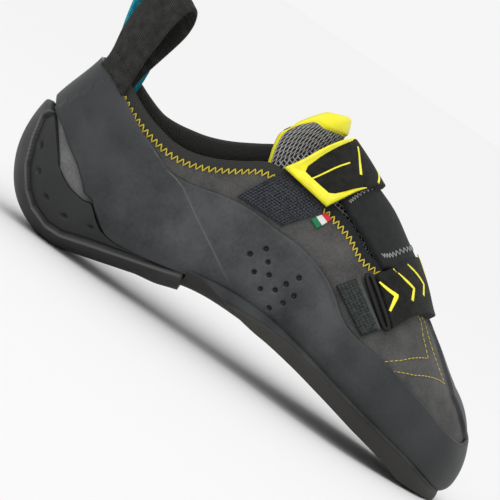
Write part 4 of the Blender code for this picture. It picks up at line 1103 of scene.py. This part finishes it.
def make_heel_cup():
    xs = np.arange(HEEL_AXIS, HEEL_FRONT * LENGTH, 0.9 * MM)
    xs = np.append(xs, HEEL_FRONT * LENGTH)
    heel = np.linspace(MEDIAL_U[0] - 1.0, LATERAL_U[0], 150)[1:-1]
    us = np.concatenate([side_u(MEDIAL, xs[::-1]) - 1.0, heel, side_u(LATERAL, xs)])
    cup = round_edge(CUP_TOP, CUP_TOP)
    beyond = CUP_TOP[-1][0] * LENGTH
    limit = rand_low(us) - CUP_GAP
    top = np.where(base_of(us) < beyond, np.minimum(limit, cup(us)), limit)
    top = top + (limit - top) * smooth((CUP_CLOSED_BEHIND - base_of(us)) / CUP_CLOSING)
    vs, _ = between(us, np.zeros(len(us)), top, 96)
    grid_u = np.repeat(us[:, None], vs.shape[1], axis=1)
    points = last_point(grid_u, vs)
    x, z = measured(skin(grid_u, vs, np.full(vs.shape, RAND_THICK)))
    lifted = skin(grid_u, vs, np.full(vs.shape, RAND_THICK + HEEL_LIP))
    panel, _ = along_line(HEEL_LIP_LINE, *measured(lifted))
    panel = np.where((vs < 0.14) | (points[..., 2] < 4 * MM), -0.01, panel / slope_of(panel, lifted))
    near = edge_distance(points, last_point(us, top))
    lip = HEEL_LIP * (1 - smooth((panel + LIP_START) / LIP_WALL)) * smooth((near + LIP_FADE_START) / LIP_FADE)
    rolled = ROLL_HEIGHT * np.exp(-(((panel + ROLL_PLACE) / ROLL_WIDTH) ** 2)) * smooth(near / EDGE_FADE)
    base = base_of(grid_u)
    end = HEEL_END * smooth((base - 0.30 * LENGTH) / (0.05 * LENGTH)) * (1 - smooth((vs - 0.22) / 0.04))
    dimple_far = np.full(x.shape, FAR)
    for spot_x, spot_z, turn in HEEL_DIMPLES:
        cos, sin = math.cos(math.radians(turn)), math.sin(math.radians(turn))
        along = (x - spot_x * MM) * cos + (z - spot_z * MM) * sin
        across = -(x - spot_x * MM) * sin + (z - spot_z * MM) * cos
        dimple_far = np.minimum(dimple_far, np.hypot(along / DIMPLE_STRETCH, across))
    dimples = smooth((DIMPLE_RADIUS - dimple_far) / DIMPLE_WALL)
    thick = RAND_THICK * crown(near, 0.8 * MM, 0.5)
    relief = ripple(points, 0.012, 0.0001, 2.0) * smooth(near / EDGE_FADE)
    offset = CLEAR + thick + lip + rolled + end - DIMPLE_DEPTH * dimples + relief
    outer = skin(grid_u, vs, offset)
    outer[..., 2] = np.maximum(outer[..., 2], 0.0)
    inner = skin(grid_u[:, ::12], vs[:, ::12], SOLE_CLEAR + 0 * vs[:, ::12])
    inner = np.concatenate([inner, skin(us, vs[:, -1], np.full(len(us), SOLE_CLEAR))[:, None]], axis=1)
    look = rubber_look("heel_side_rubber", (0.013, 0.014, 0.014), (0.030, 0.031, 0.030))
    colour = look.colour()
    # Painted shade: the dimples' hollows and a line beside the lip's edge are painted near black; the pale
    # line along the lip's edge is a painted highlight.
    inside = look.span(look.layer("dimples"), 0.0006, 0.0011, 1.0, 0.0)
    from_lip = look.layer("lip_edge")
    ridge = look.span(look.maths("ABSOLUTE", look.maths("ADD", from_lip, 0.0007)), 0.0001, 0.0007, 0.55, 0.0)
    lip_shade_groove = look.span(look.maths("ABSOLUTE", look.maths("ADD", from_lip, -0.0007)), 0.0002, 0.0009, 0.8, 0.0)
    shaded = look.mix(look.maths("MAXIMUM", inside, lip_shade_groove), colour, (0.003, 0.003, 0.003))
    look.set("Base Color", look.mix(ridge, shaded, (0.14, 0.14, 0.135)))
    look.relief(look.maths("SUBTRACT", ridge, lip_shade_groove), 0.0005, 0.8)
    layers = {"dimples": dimple_far, "lip_edge": panel}
    piece = loft("heel_cup_skin", outer, inner, [look.material], False, layers)
    return declare(piece, "rubber", "heel_cup")


def make_outsole():
    back = SOLE_BACK * LENGTH
    xs = np.append(np.arange(back, TOE_AXIS, 1.4 * MM), TOE_AXIS)
    toe = np.linspace(LATERAL_U[-1], MEDIAL_U[-1], 62)[1:-1]
    us = np.concatenate([side_u(LATERAL, xs), toe, side_u(MEDIAL, xs[::-1])])
    rib = rand_low(us) - SOLE_RIB
    share = np.linspace(0, 1, 14)
    sides = [np.linspace(step + RIB_RAMP, SOLE_EDGE, 24) for step in rib]
    vs = np.array([np.concatenate([step * share, side]) for step, side in zip(rib, sides, strict=True)])
    grid_u = np.repeat(us[:, None], vs.shape[1], axis=1)
    ribs = rib[:, None]
    top = skin(grid_u, vs, CLEAR + (RAND_THICK + SOLE_CLEAR) * smooth((vs - ribs) / RIB_RAMP))
    over_rand = CLEAR + RAND_THICK + SOLE_CLEAR
    full = smooth((base_of(grid_u) - back) / ((SOLE_FULL - SOLE_BACK) * LENGTH))
    thick = SOLE_BACK_THICK + (SOLE_THICK - SOLE_BACK_THICK) * full
    level = skin(grid_u, np.clip(vs, RAND_UNDER, 1), np.full_like(vs, over_rand))
    middle = skin(grid_u, np.zeros_like(vs), np.full_like(vs, over_rand))[..., 2] - thick
    edge_drop = np.clip(level[..., 2] - thick - middle, 0, None)
    under = top.copy()
    seat = np.where(vs < ribs + 0.002, RAND_THICK + SOLE_CLEAR, 0.0)
    under[..., 2] = top[..., 2] - seat - thick - SOLE_FLATNESS * edge_drop * smooth(vs / SOLE_EDGE) * full
    under[..., 2] = np.maximum(under[..., 2], 0.0)
    foot, head = under[:, -1], skin(us, vs[:, -1], np.full(len(us), CLEAR + RAND_THICK + 0.05 * MM))
    share = np.linspace(0, 1, 26)[1:]
    wall = foot[:, None] + (head - foot)[:, None] * share[:, None]
    line, _ = along_line(SOLE_LINE, *measured(wall))
    groove = SOLE_GROOVE * np.exp(-((line / SOLE_GROOVE) ** 2)) * smooth((1 - share) / 0.1)
    bulge = SOLE_BULGE * np.sin(math.pi * share)
    wall += last_normal(us, np.full(len(us), 0.42))[:, None] * (bulge - groove)[..., None]
    layer = np.concatenate([np.full(under.shape[:2], -0.01), line], axis=1)
    look = rubber_look("sole_edge_rubber", (0.016, 0.015, 0.013), (0.036, 0.034, 0.029), (0.5, 0.7))
    colour = look.colour()
    rand = look.mix(look.span(look.noise(0.022, 4.0), 0.4, 0.8), RUBBER, RUBBER_PALE)
    look.set("Base Color", look.mix(look.span(look.layer("above_sole"), -0.0003, 0.0003), colour, rand))
    outer = np.concatenate([under, wall], axis=1)
    layers = {"above_sole": layer}
    piece = loft("outsole_skin", outer, top, [look.material], layers=layers, weld=True, sharp=38)
    return declare(piece, "sole_rubber", "outsole")


def sash_piece(
    name, rows, size, base, thick, radius, looks, slot, node,
    relief=None, layers=None, sharp=60, reach=(0.0, 1.0),
):
    """A strap or panel over the last. Reach widens it past its front and rear edge, under its neighbours."""
    field = Sash(rows)
    field.over = base
    a, c = finer_at_ends(size[0])[:, None], reach[0] + (reach[1] - reach[0]) * finer_at_ends(size[1])
    middle = field.skin(a, c, base(a))
    near, along, across = border(middle)
    rise = thick(a) * crown(near, radius)
    if relief:
        rise = rise + relief(a, c, along, across) * smooth(near / radius)
    outer = field.skin(a, c, base(a) + rise)
    inner = field.skin(a, c[:: max(1, size[1] // 8)], base(a))
    inner = np.concatenate([inner, field.skin(a, c[-1:], base(a))], axis=1)
    values = {key: value(a, c) + 0 * near for key, value in (layers or {}).items()}
    piece = loft(name, outer, inner, looks, False, values, sharp=sharp)
    declare(piece, slot, node)
    return field


def constant(distance):
    return lambda a: distance + 0 * a


def on_sash(field, spots, over):
    """Points and normals on a strap's outer face at rows of a and c."""
    a, c = spots[:, 0], spots[:, 1]
    u, v = field.place(a, c)
    return skin(u, v, over(a)), last_normal(u, v)


def marks_on(field, lines, over, widths):
    """Raised lines on a strap. Each line is pixels of the photograph, and has a width at each of them."""
    paths = []
    for line, width in zip(lines, widths, strict=True):
        spots = field.find(line)
        t = np.linspace(0, len(spots) - 1, 8 * (len(spots) - 1) + 1)
        way = np.arange(len(spots))
        fine = np.stack([np.interp(t, way, spots[:, k]) for k in range(2)], axis=-1)
        path, normals = on_sash(field, fine, over)
        paths.append((path, normals, np.interp(t, way, width) * MM))
    return paths


def zigzag_on(field, a_range, c_range, over, count):
    """A zigzag seam along a strap, between two ways across it."""
    share = np.linspace(0, 1, count + 1)
    line = np.stack([a_range[0] + (a_range[1] - a_range[0]) * share, np.full(count + 1, c_range[0])], axis=-1)
    line[1::2, 1] = c_range[1]
    paths = []
    for first, second in zip(line[:-1], line[1:], strict=True):
        fine = first + (second - first) * np.linspace(0, 1, 5)[:, None]
        path, normals = on_sash(field, fine, over)
        arch = 0.25 * MM * np.sin(np.linspace(0, math.pi, 5))
        paths.append((path + normals * arch[:, None], normals, None))
    return paths


def make_frame(strap):
    """The moulded frame round the top strap's outer end: bevelled arms that taper, and a wide end."""
    arms = (
        (0.46, 0.0, 0.43, 0.05), (0.31, 0.0, 0.30, 0.11), (0.16, 0.0, 0.17, 0.16), (0.0, 0.0, 0.115, 0.24),
        (0.0, 0.34, 0.112, 0.40), (0.0, 0.67, 0.112, 0.62), (0.0, 1.0, 0.115, 0.79), (0.12, 1.0, 0.15, 0.85),
        (0.22, 1.0, 0.22, 0.90), (0.33, 1.0, 0.31, 0.96),
    )
    rows = np.arange(len(arms))
    fine = np.unique(np.concatenate([np.linspace(0, rows[-1], 130), rows]))
    table = np.stack([np.interp(fine, rows, column) for column in np.array(arms, float).T], axis=-1)
    share = np.array([0.0, 0.03, 0.08, 0.16, 0.26, 0.34, 0.42, 0.60, 0.80, 0.94, 1.0])
    height = np.array([0.25, 0.62, 0.85, 0.98, 1.05, 1.08, 1.02, 0.72, 0.44, 0.28, 0.12])
    a = table[:, None, 0] * (1 - share) + table[:, None, 2] * share
    c = table[:, None, 1] * (1 - share) + table[:, None, 3] * share
    tip = smooth(fine / 0.8) * smooth((rows[-1] - fine) / 0.8)
    base = strap_over(a) + STRAP_THICK
    rise = TAB_THICK * height * (0.35 + 0.65 * tip[:, None])
    outer = strap.skin(a, c, base + 0.1 * MM + rise)
    inner = strap.skin(a[:, ::5], c[:, ::5], base[:, ::5])
    piece = loft("strap_top_frame", outer, inner, [LOOKS["yellow"]], sharp=24)
    declare(piece, "yellow", "strap_top_tab")


def make_straps():
    def slack(a, c, along, across):
        return STRAP_WAVE * np.sin(along / 0.008 + 2 * across / 0.010) * bump(a)

    def felt(a, c, along, across):
        wave = np.sin(along * 5200 + 3 * np.sin(across * 2100))
        return FELT_DEPTH * wave * np.sin(across * 4700 + 2 * np.sin(along * 1900))

    def lower_thick(a):
        return STRAP_THICK + LOWER_FOLD * bump(a)

    sash_piece(
        "closure_patch_skin", CLOSURE_PATCH, (90, 90), constant(CLEAR), constant(PATCH_THICK), 0.7 * MM,
        [LOOKS["fuzzy"]], "fuzzy", "closure_patch", felt,
    )
    panel = sash_piece(
        "bridge_panel_skin", BRIDGE_PANEL, (120, 46), constant(CLEAR), constant(PANEL_THICK), 1.4 * MM,
        [LOOKS["stretch"]], "stretch", "bridge_panel", slack, reach=PANEL_REACH,
    )
    top = sash_piece(
        "strap_top_skin", TOP_STRAP, (150, 50), strap_over, constant(STRAP_THICK), 0.9 * MM,
        [LOOKS["webbing"]], "webbing", "strap_top", slack,
    )
    make_frame(top)
    lower = sash_piece(
        "strap_lower_skin", LOWER_STRAP, (150, 50), constant(CLEAR), lower_thick, 1.0 * MM,
        [LOOKS["webbing"]], "webbing", "strap_lower", slack,
    )
    below = sash_piece(
        "webbing_lower_skin", LOWER_WEBBING, (60, 60), constant(CLEAR), constant(WEBBING_THICK), 1.5 * MM,
        [LOOKS["ribbed"]], "webbing", "webbing_lower", layers={"fold": lambda a, c: 0.013 * (a - 0.80)},
    )
    inner = sash_piece(
        "webbing_top_skin", MEDIAL_WEBBING, (50, 60), constant(CLEAR), constant(WEBBING_THICK), 1.5 * MM,
        [LOOKS["ribbed"]], "webbing", "webbing_top", layers={"fold": lambda a, c: 0.007 * (a - 0.70)},
    )
    sash_piece(
        "side_tag_skin", SIDE_TAG, (30, 20), constant(CLEAR), constant(TAG_THICK), 0.4 * MM,
        [LOOKS["tag"]], "tag", "side_tag", layers={"band": lambda a, c: a},
    )
    make_ring("ring_lower", below, lower, 0)
    make_ring("ring_top", inner, top, 1)

    def over_top(a):
        return strap_over(a) + STRAP_THICK

    def over_lower(a):
        return CLEAR + lower_thick(a)

    lines = (
        ((308, 180), (350, 163)), ((358, 147), (360, 161), (361, 175)), ((367, 150), (372, 166), (378, 183)),
    )
    paths = marks_on(top, lines, over_top, ((0.7, 0.8), (1.1, 1.3, 1.9), (2.2, 2.8, 1.6)))
    chevrons = (
        ((372, 284), (396, 296), (390, 311)), ((391, 270.5), (411, 290), (409.5, 302)),
        ((404, 265.5), (420, 285), (420, 297)), ((414, 256), (427, 280), (429, 291)),
    )
    widths = ((0.9, 2.5, 1.2), (1.1, 1.6, 1.8), (1.1, 1.5, 1.7), (1.2, 1.3, 0.9))
    paths += marks_on(lower, chevrons, over_lower, widths)
    strokes("strap_marks", paths, LOOKS["yellow"], "yellow", 0.8 * MM, 0.28 * MM)

    def over_panel(a):
        return CLEAR + PANEL_THICK

    grey = zigzag_on(panel, (0.06, 0.94), (-0.01, 0.05), over_panel, 44)
    grey += zigzag_on(panel, (0.06, 0.94), (0.89, 0.96), over_panel, 44)
    strokes("panel_stitch", grey, LOOKS["grey"], "tag", 0.42 * MM, 0.2 * MM)


def make_ring(name, webbing, strap, strap_end):
    """A wire ring lying between a webbing's fold and a strap's end."""
    radius = WIRE / 2
    count, sides = 110, 12
    corners = []
    for c in (0.0, 1.0):
        corners.append((np.array(webbing.place(1.0, c)), np.array(strap.place(float(strap_end), c))))
    height = CLEAR + radius
    ends = [[skin(spot[0], spot[1], height + RING_LIFT) for spot in pair] for pair in corners]
    rear, front = ((pair[0] + pair[1]) / 2 for pair in ends)
    across = ((ends[0][1] - ends[0][0]) + (ends[1][1] - ends[1][0])) / 2
    width = np.linalg.norm(across)
    across = across / width
    half_width = width / 2 - CLEAR - radius - RING_PLAY
    along = front - rear
    half_length = np.linalg.norm(along) / 2
    along = along / (2 * half_length)
    bow_u, bow_v = (np.array(webbing.place(1.0, 0.5)) + np.array(strap.place(float(strap_end), 0.5))) / 2
    middle = (rear + front) / 2
    bow = skin(bow_u, bow_v, height + RING_LIFT) - middle
    up = np.cross(along, across)
    turn = 2 * math.pi * np.arange(count) / count
    along_share = np.sign(np.cos(turn)) * np.abs(np.cos(turn)) ** 0.45
    across_share = np.sign(np.sin(turn)) * np.abs(np.sin(turn)) ** 0.6
    path = (
        middle + along * (half_length * along_share)[:, None] + across * (half_width * across_share)[:, None]
        + bow * (1 - along_share**2)[:, None]
    )
    tangent = np.roll(path, -1, axis=0) - np.roll(path, 1, axis=0)
    tangent /= np.linalg.norm(tangent, axis=1, keepdims=True)
    side = np.cross(tangent, up)
    side /= np.linalg.norm(side, axis=1, keepdims=True)
    normal = np.cross(side, tangent)
    turn = np.linspace(0, 2 * math.pi, sides, endpoint=False)
    ring = side[:, None] * np.cos(turn)[:, None] + normal[:, None] * np.sin(turn)[:, None]
    points = path[:, None] + radius * ring
    faces = []
    for i in range(count):
        for j in range(sides):
            here, following = i * sides, ((i + 1) % count) * sides
            faces.append((here + j, following + j, following + (j + 1) % sides, here + (j + 1) % sides))
    # The ring's near-black wire is partly its dark metal and partly painted shade for the gap it lies in.
    piece = finish_mesh(name + "_wire", points.reshape(-1, 3), faces, [LOOKS["wire"]])
    declare(piece, "wire", name)


def make_tongue():
    """The tongue: a sheet under the throat, then a free padded flap with a yellow edge."""
    columns = np.linspace(-1, 1, 61)
    outer, inner = [], []
    for x in np.linspace(TONGUE_FRONT * LENGTH, TONGUE_TURN * LENGTH, 24):
        row_u, row_v, over = [], [], []
        for share in columns:
            side = LATERAL if share < 0 else MEDIAL
            u = float(side_u(side, x))
            slope = float(np.interp(x / LENGTH, (0.62, 0.64, 0.72), (1.0, 0.93, 0.80)))
            edge = v_at_height(u, TONGUE_EDGE_HEIGHT * INSTEP * slope)
            v = 1 - abs(share) * (1 - edge)
            rise = smooth((v - float(collar(u)) - 0.05) / 0.08)
            row_u.append(u)
            row_v.append(v)
            over.append(-UPPER_WALL - CLEAR + (UPPER_WALL + CLEAR) * rise * (x < 0.64 * LENGTH))
        outer.append(skin(np.array(row_u), np.array(row_v), np.array(over)))
        inner.append(skin(np.array(row_u), np.array(row_v), np.array(over) - TONGUE_THICK))
    outer, inner = np.array(outer), np.array(inner)
    rows = np.array(TONGUE_FLAP_ROWS)
    fine = np.linspace(0, len(rows) - 1, 60)
    flap_rows = np.stack([cubic(fine, np.arange(len(rows)), rows[:, k]) for k in range(5)], axis=-1)
    flap = []
    for front_x, front_z, edge_x, edge_y, edge_z in flap_rows:
        turn = np.abs(columns) * math.pi / 2
        drop = 1 - np.cos(turn) ** 0.9
        y = np.sign(columns) * np.sin(turn) ** 0.9 * edge_y * BALL_WIDTH
        x = (front_x + (edge_x - front_x) * drop) * LENGTH
        z = (front_z + (edge_z - front_z) * drop) * INSTEP
        flap.append(np.stack([x, y, z], axis=-1))
    flap = np.array(flap)
    grid = np.concatenate([outer[-1:], flap])
    normal = np.cross(np.gradient(grid, axis=1), np.gradient(grid, axis=0))
    normal /= np.maximum(np.linalg.norm(normal, axis=-1, keepdims=True), 1e-9)
    normal *= math.copysign(1.0, normal[:, len(columns) // 2, 0].mean())
    normal = normal[1:]
    from_top = arc(flap[::-1], 0)[::-1]
    band = np.interp(np.abs(columns), (0, 0.35, 0.6, 0.8, 0.92, 1.0), (10.0, 11.5, 13.0, 12.0, 8.0, 3.0)) * MM
    from_side = np.minimum(arc(flap, 1), arc(flap, 1)[:, -1:] - arc(flap, 1))
    side_band = np.interp(from_top / MM, (0, 8, 16, 24), (13.0, 10.0, 4.0, 1.6)) * MM
    pad = np.maximum(band - from_top, side_band - from_side)
    edge_near = np.minimum(from_top, from_side)
    puff = PAD_PUFF * smooth(pad / (1.5 * MM)) * (0.2 + 0.8 * smooth(edge_near / (2.5 * MM)))
    lift = crown(edge_near, 1.6 * MM, 0.0) - 1
    front = flap + normal * (puff + lift * TONGUE_FLAP * 0.45)[..., None]
    back = flap - normal * (TONGUE_FLAP * (0.55 + 0.45 * crown(edge_near, 1.8 * MM, 0.0)))[..., None]
    whole = np.concatenate([outer, front])
    layer = np.concatenate([np.full(outer.shape[:2], -0.01), pad])
    inside = np.concatenate([inner, back])[:, ::3]
    looks = [LOOKS["tongue"], LOOKS["lining"]]
    piece = loft("tongue_skin", whole, inside, looks, layers={"pad": layer}, sharp=75)
    declare(piece, "mesh", "tongue")


def make_pull_loop(name, look, slot, side, lean, spread):
    """A folded webbing loop over the collar's edge, one leg outside the wall and one inside."""
    centre, _ = locate(side, LOOP_PLACE * LENGTH, 0.84 * INSTEP)
    half = LOOP_WIDTH / 2 / GIRTH[-1]
    columns = finer_at_ends(25) * 2 - 1
    outer_leg = CLEAR + RAND_THICK + CLEAR
    inner_leg = -(COLLAR_LINING + 2 * CLEAR + LOOP_THICK)
    middle = (outer_leg + LOOP_THICK + inner_leg) / 2
    reach = (outer_leg + LOOP_THICK - inner_leg) / 2
    wide = 1.0 + LOOP_BULGE / reach
    route = [(-0.0048, 1.0), (-0.002, 1.0), (0.004, 1.05), (0.015, wide), (0.028, wide)]
    fold = [(0.028 + math.sin(t) * (LOOP_HEIGHT - 0.028), math.cos(t) * wide)
            for t in np.linspace(0.35, math.pi - 0.35, 7)]
    path = np.array(route + fold + [(h, -r) for h, r in reversed(route)])
    fine = np.linspace(0, len(path) - 1, 110)
    path = np.stack([cubic(fine, np.arange(len(path)), path[:, k]) for k in range(2)], axis=-1)
    rows_out, rows_in = [], []
    for u in centre + columns * half:
        v = float(collar(u))
        edge = last_point(u, v)
        normal = last_normal(u, min(v, 0.85))
        normal[2] = 0
        normal /= np.linalg.norm(normal)
        line = []
        for height, share in path:
            at = edge + np.array([0, 0, height])
            if height < 0:
                at = last_point(u, v_at_height(u, edge[2] + height))
            far_leg = (1 - share / wide) / 2 * smooth(height / (44 * MM))
            swing = np.array([lean * smooth(height / LOOP_HEIGHT) + spread * far_leg, 0.0, 0.0])
            line.append(at + normal * (middle + reach * share) + swing)
        line = np.array(line)
        along = np.gradient(line, axis=0)
        along /= np.linalg.norm(along, axis=1, keepdims=True)
        inward = np.cross(along, np.cross(normal, [0, 0, 1.0]))
        inward /= np.linalg.norm(inward, axis=1, keepdims=True)
        if np.dot(inward[0], normal) > 0:
            inward = -inward
        rows_out.append(line)
        rows_in.append(inward)
    out, inward = (np.swapaxes(np.array(rows), 0, 1) for rows in (rows_out, rows_in))
    near, along, across = border(out)
    sink = LOOP_THICK * (1 - crown(near, 0.7 * MM, 0.5))
    waves = LOOP_WAVE * np.sin(along / 0.007 + across / 0.011)
    outer = out + inward * (sink + waves)[..., None]
    inner = (out + inward * (LOOP_THICK + waves)[..., None])[:, ::4]
    piece = loft(name + "_skin", outer, inner, [look], sharp=70)
    declare(piece, slot, name)
    return outer, inward


def loop_stitches(loops):
    """Rows of short stitches that hold the loops to the collar."""
    paths = []
    for outer, inward in loops:
        for row in (3, 14):
            for j in range(3, 21, 2):
                spots = outer[row, j : j + 2] - inward[row, j : j + 2] * 0.0001
                ends = np.stack([spots[0], spots[0] * 0.5 + spots[1] * 0.5, spots[1]])
                paths.append((ends, np.repeat(-inward[row, j][None], 3, axis=0), None))
    strokes("loop_stitch", paths, LOOKS["wire"], "webbing", 0.5 * MM, 0.2 * MM)


def dashes(spots, dash, gap, offset):
    """Short stitches on the upper along a line of the photograph's pixels, seen from the outer side."""
    line = np.array([on_upper(*from_photo(*spot)) for spot in spots])
    t = np.linspace(0, len(line) - 1, 200)
    fine = np.stack([np.interp(t, np.arange(len(line)), line[:, k]) for k in range(2)], axis=-1)
    points = last_point(fine[:, 0], fine[:, 1])
    run = np.concatenate([[0.0], np.cumsum(np.linalg.norm(np.diff(points, axis=0), axis=1))])
    paths = []
    for start in np.arange(0.3 * MM, run[-1] - dash, dash + gap):
        at = np.linspace(start, start + dash, 4)
        u, v = (np.interp(at, run, fine[:, k]) for k in range(2))
        arch = 0.12 * MM * np.sin(np.linspace(0, math.pi, 4))
        paths.append((skin(u, v, offset + arch), last_normal(u, v), None))
    return paths


def make_toe_stitch():
    """The two V-shaped seams behind the toe."""
    small = (
        (378, 363), (400, 360.6), (427.7, 358.5), (425.3, 347.3), (422.5, 336), (420.4, 320.6), (414.8, 311),
    )
    large = (
        (386, 370.5), (414, 375.3), (444.2, 383.7), (438.6, 368.3), (433, 352.9), (429, 340), (424.6, 323),
        (419, 312),
    )
    paths = []
    for line in (small, large):
        paths += dashes(line, 1.9 * MM, 0.7 * MM, 0.1 * MM)
    strokes("toe_stitch", paths, LOOKS["gold"], "yellow", 0.46 * MM, 0.2 * MM)


def make_painted_band_highlight():
    """A painted highlight: a pale stroke along the upper stretch of the heel band's front edge."""
    spots = np.array([locate(LATERAL, x * MM, z * MM) for x, z in BAND_EDGE[:BAND_PALE]])
    t = np.linspace(0, len(spots) - 1, 120)
    u, v = (cubic(t, np.arange(len(spots)), spots[:, k]) for k in range(2))
    v = np.minimum(v, rand_top(u) - 0.004)
    path = skin(u, v, np.full(len(u), CLEAR + RAND_THICK + 0.42 * MM))
    widths = np.interp(t, (0, t[-1] * 0.8, t[-1]), (0.5, 0.45, 0.1)) * MM
    look = plain_look("painted_highlight_edge", (0.15, 0.155, 0.15), 0.5)
    strokes("painted_band_highlight", [(path, last_normal(u, v), widths)], look, "rubber", 0.4 * MM, 0.16 * MM)


def make_stage():
    """A plain pale floor."""
    width = 12.0
    profile = [(-6.0, 0.0), (20.0, 0.0)]
    points = [(x, y, z) for y, z in profile for x in (-width, width)]
    faces = [(2 * k, 2 * k + 1, 2 * k + 3, 2 * k + 2) for k in range(len(profile) - 1)]
    mesh = bpy.data.meshes.new("studio_floor")
    mesh.from_pydata(points, [], faces)
    mesh.shade_smooth()
    look = Look("studio_paper", (0.79, 0.79, 0.79), 0.95, Specular_IOR_Level=0.0)
    mesh.materials.append(look.material)
    floor = bpy.data.objects.new("studio_floor", mesh)
    bpy.context.scene.collection.objects.link(floor)


def area_light(name, place, size, power):
    light = bpy.data.lights.new(name, "AREA")
    light.shape = "RECTANGLE"
    light.size, light.size_y = size
    light.energy = power
    lamp = bpy.data.objects.new(name, light)
    lamp.location = place
    lamp.rotation_euler = (Vector((0.0, 0.0, 0.05)) - Vector(place)).to_track_quat("-Z", "Y").to_euler()
    bpy.context.scene.collection.objects.link(lamp)


def make_lights():
    world = bpy.data.worlds.new("studio")
    bpy.context.scene.world = world
    world.use_nodes = True
    world.node_tree.nodes["Background"].inputs["Color"].default_value = (1.0, 1.0, 1.0, 1.0)
    world.node_tree.nodes["Background"].inputs["Strength"].default_value = WORLD_LIGHT
    bpy.context.scene.view_settings.view_transform = "Standard"
    area_light("top_softbox", (0.1, -0.5, 1.3), (1.2, 1.2), SOFTBOX_POWER)
    area_light("front_softbox", (-0.9, -1.3, 1.0), (1.0, 1.0), SOFTBOX_POWER)
    sun = bpy.data.lights.new("soft_sun", "SUN")
    sun.energy, sun.angle = SUN_POWER, math.radians(50)
    lamp = bpy.data.objects.new("soft_sun", sun)
    lamp.rotation_euler = (math.radians(35), math.radians(-20), 0.0)
    bpy.context.scene.collection.objects.link(lamp)


def make_camera():
    """The photograph's view: from the outer side, a little above the level, rolled with the toe down."""
    place, right, up, look = camera_frame()
    data = bpy.data.cameras.new("photo_camera")
    data.lens, data.sensor_width = CAMERA_LENS, CAMERA_SENSOR
    data.clip_start, data.clip_end = 0.05, 20.0
    camera = bpy.data.objects.new("photo_camera", data)
    axes = np.stack([right, up, -look], axis=1)
    camera.matrix_world = Matrix.Translation(Vector(place + SHIFT)) @ Matrix(axes.tolist()).to_4x4()
    bpy.context.scene.collection.objects.link(camera)
    bpy.context.scene.camera = camera


def dress_insole():
    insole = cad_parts["insole"]
    for place in insole.material_slots:
        place.material = LOOKS["lining"]


def main():
    make_upper()
    make_binding()
    make_collar_stitch()
    make_rand()
    make_heel_cup()
    make_outsole()
    make_tongue()
    make_straps()
    loops = [
        make_pull_loop("pull_loop_outer", LOOKS["loop"], "webbing", LATERAL, 1.5 * MM, 5.5 * MM),
        make_pull_loop("pull_loop_inner", LOOKS["teal"], "teal", MEDIAL, -8 * MM, 0.0),
    ]
    loop_stitches(loops)
    make_toe_stitch()
    make_painted_band_highlight()
    dress_insole()
    make_stage()
    make_lights()
    make_camera()


main()
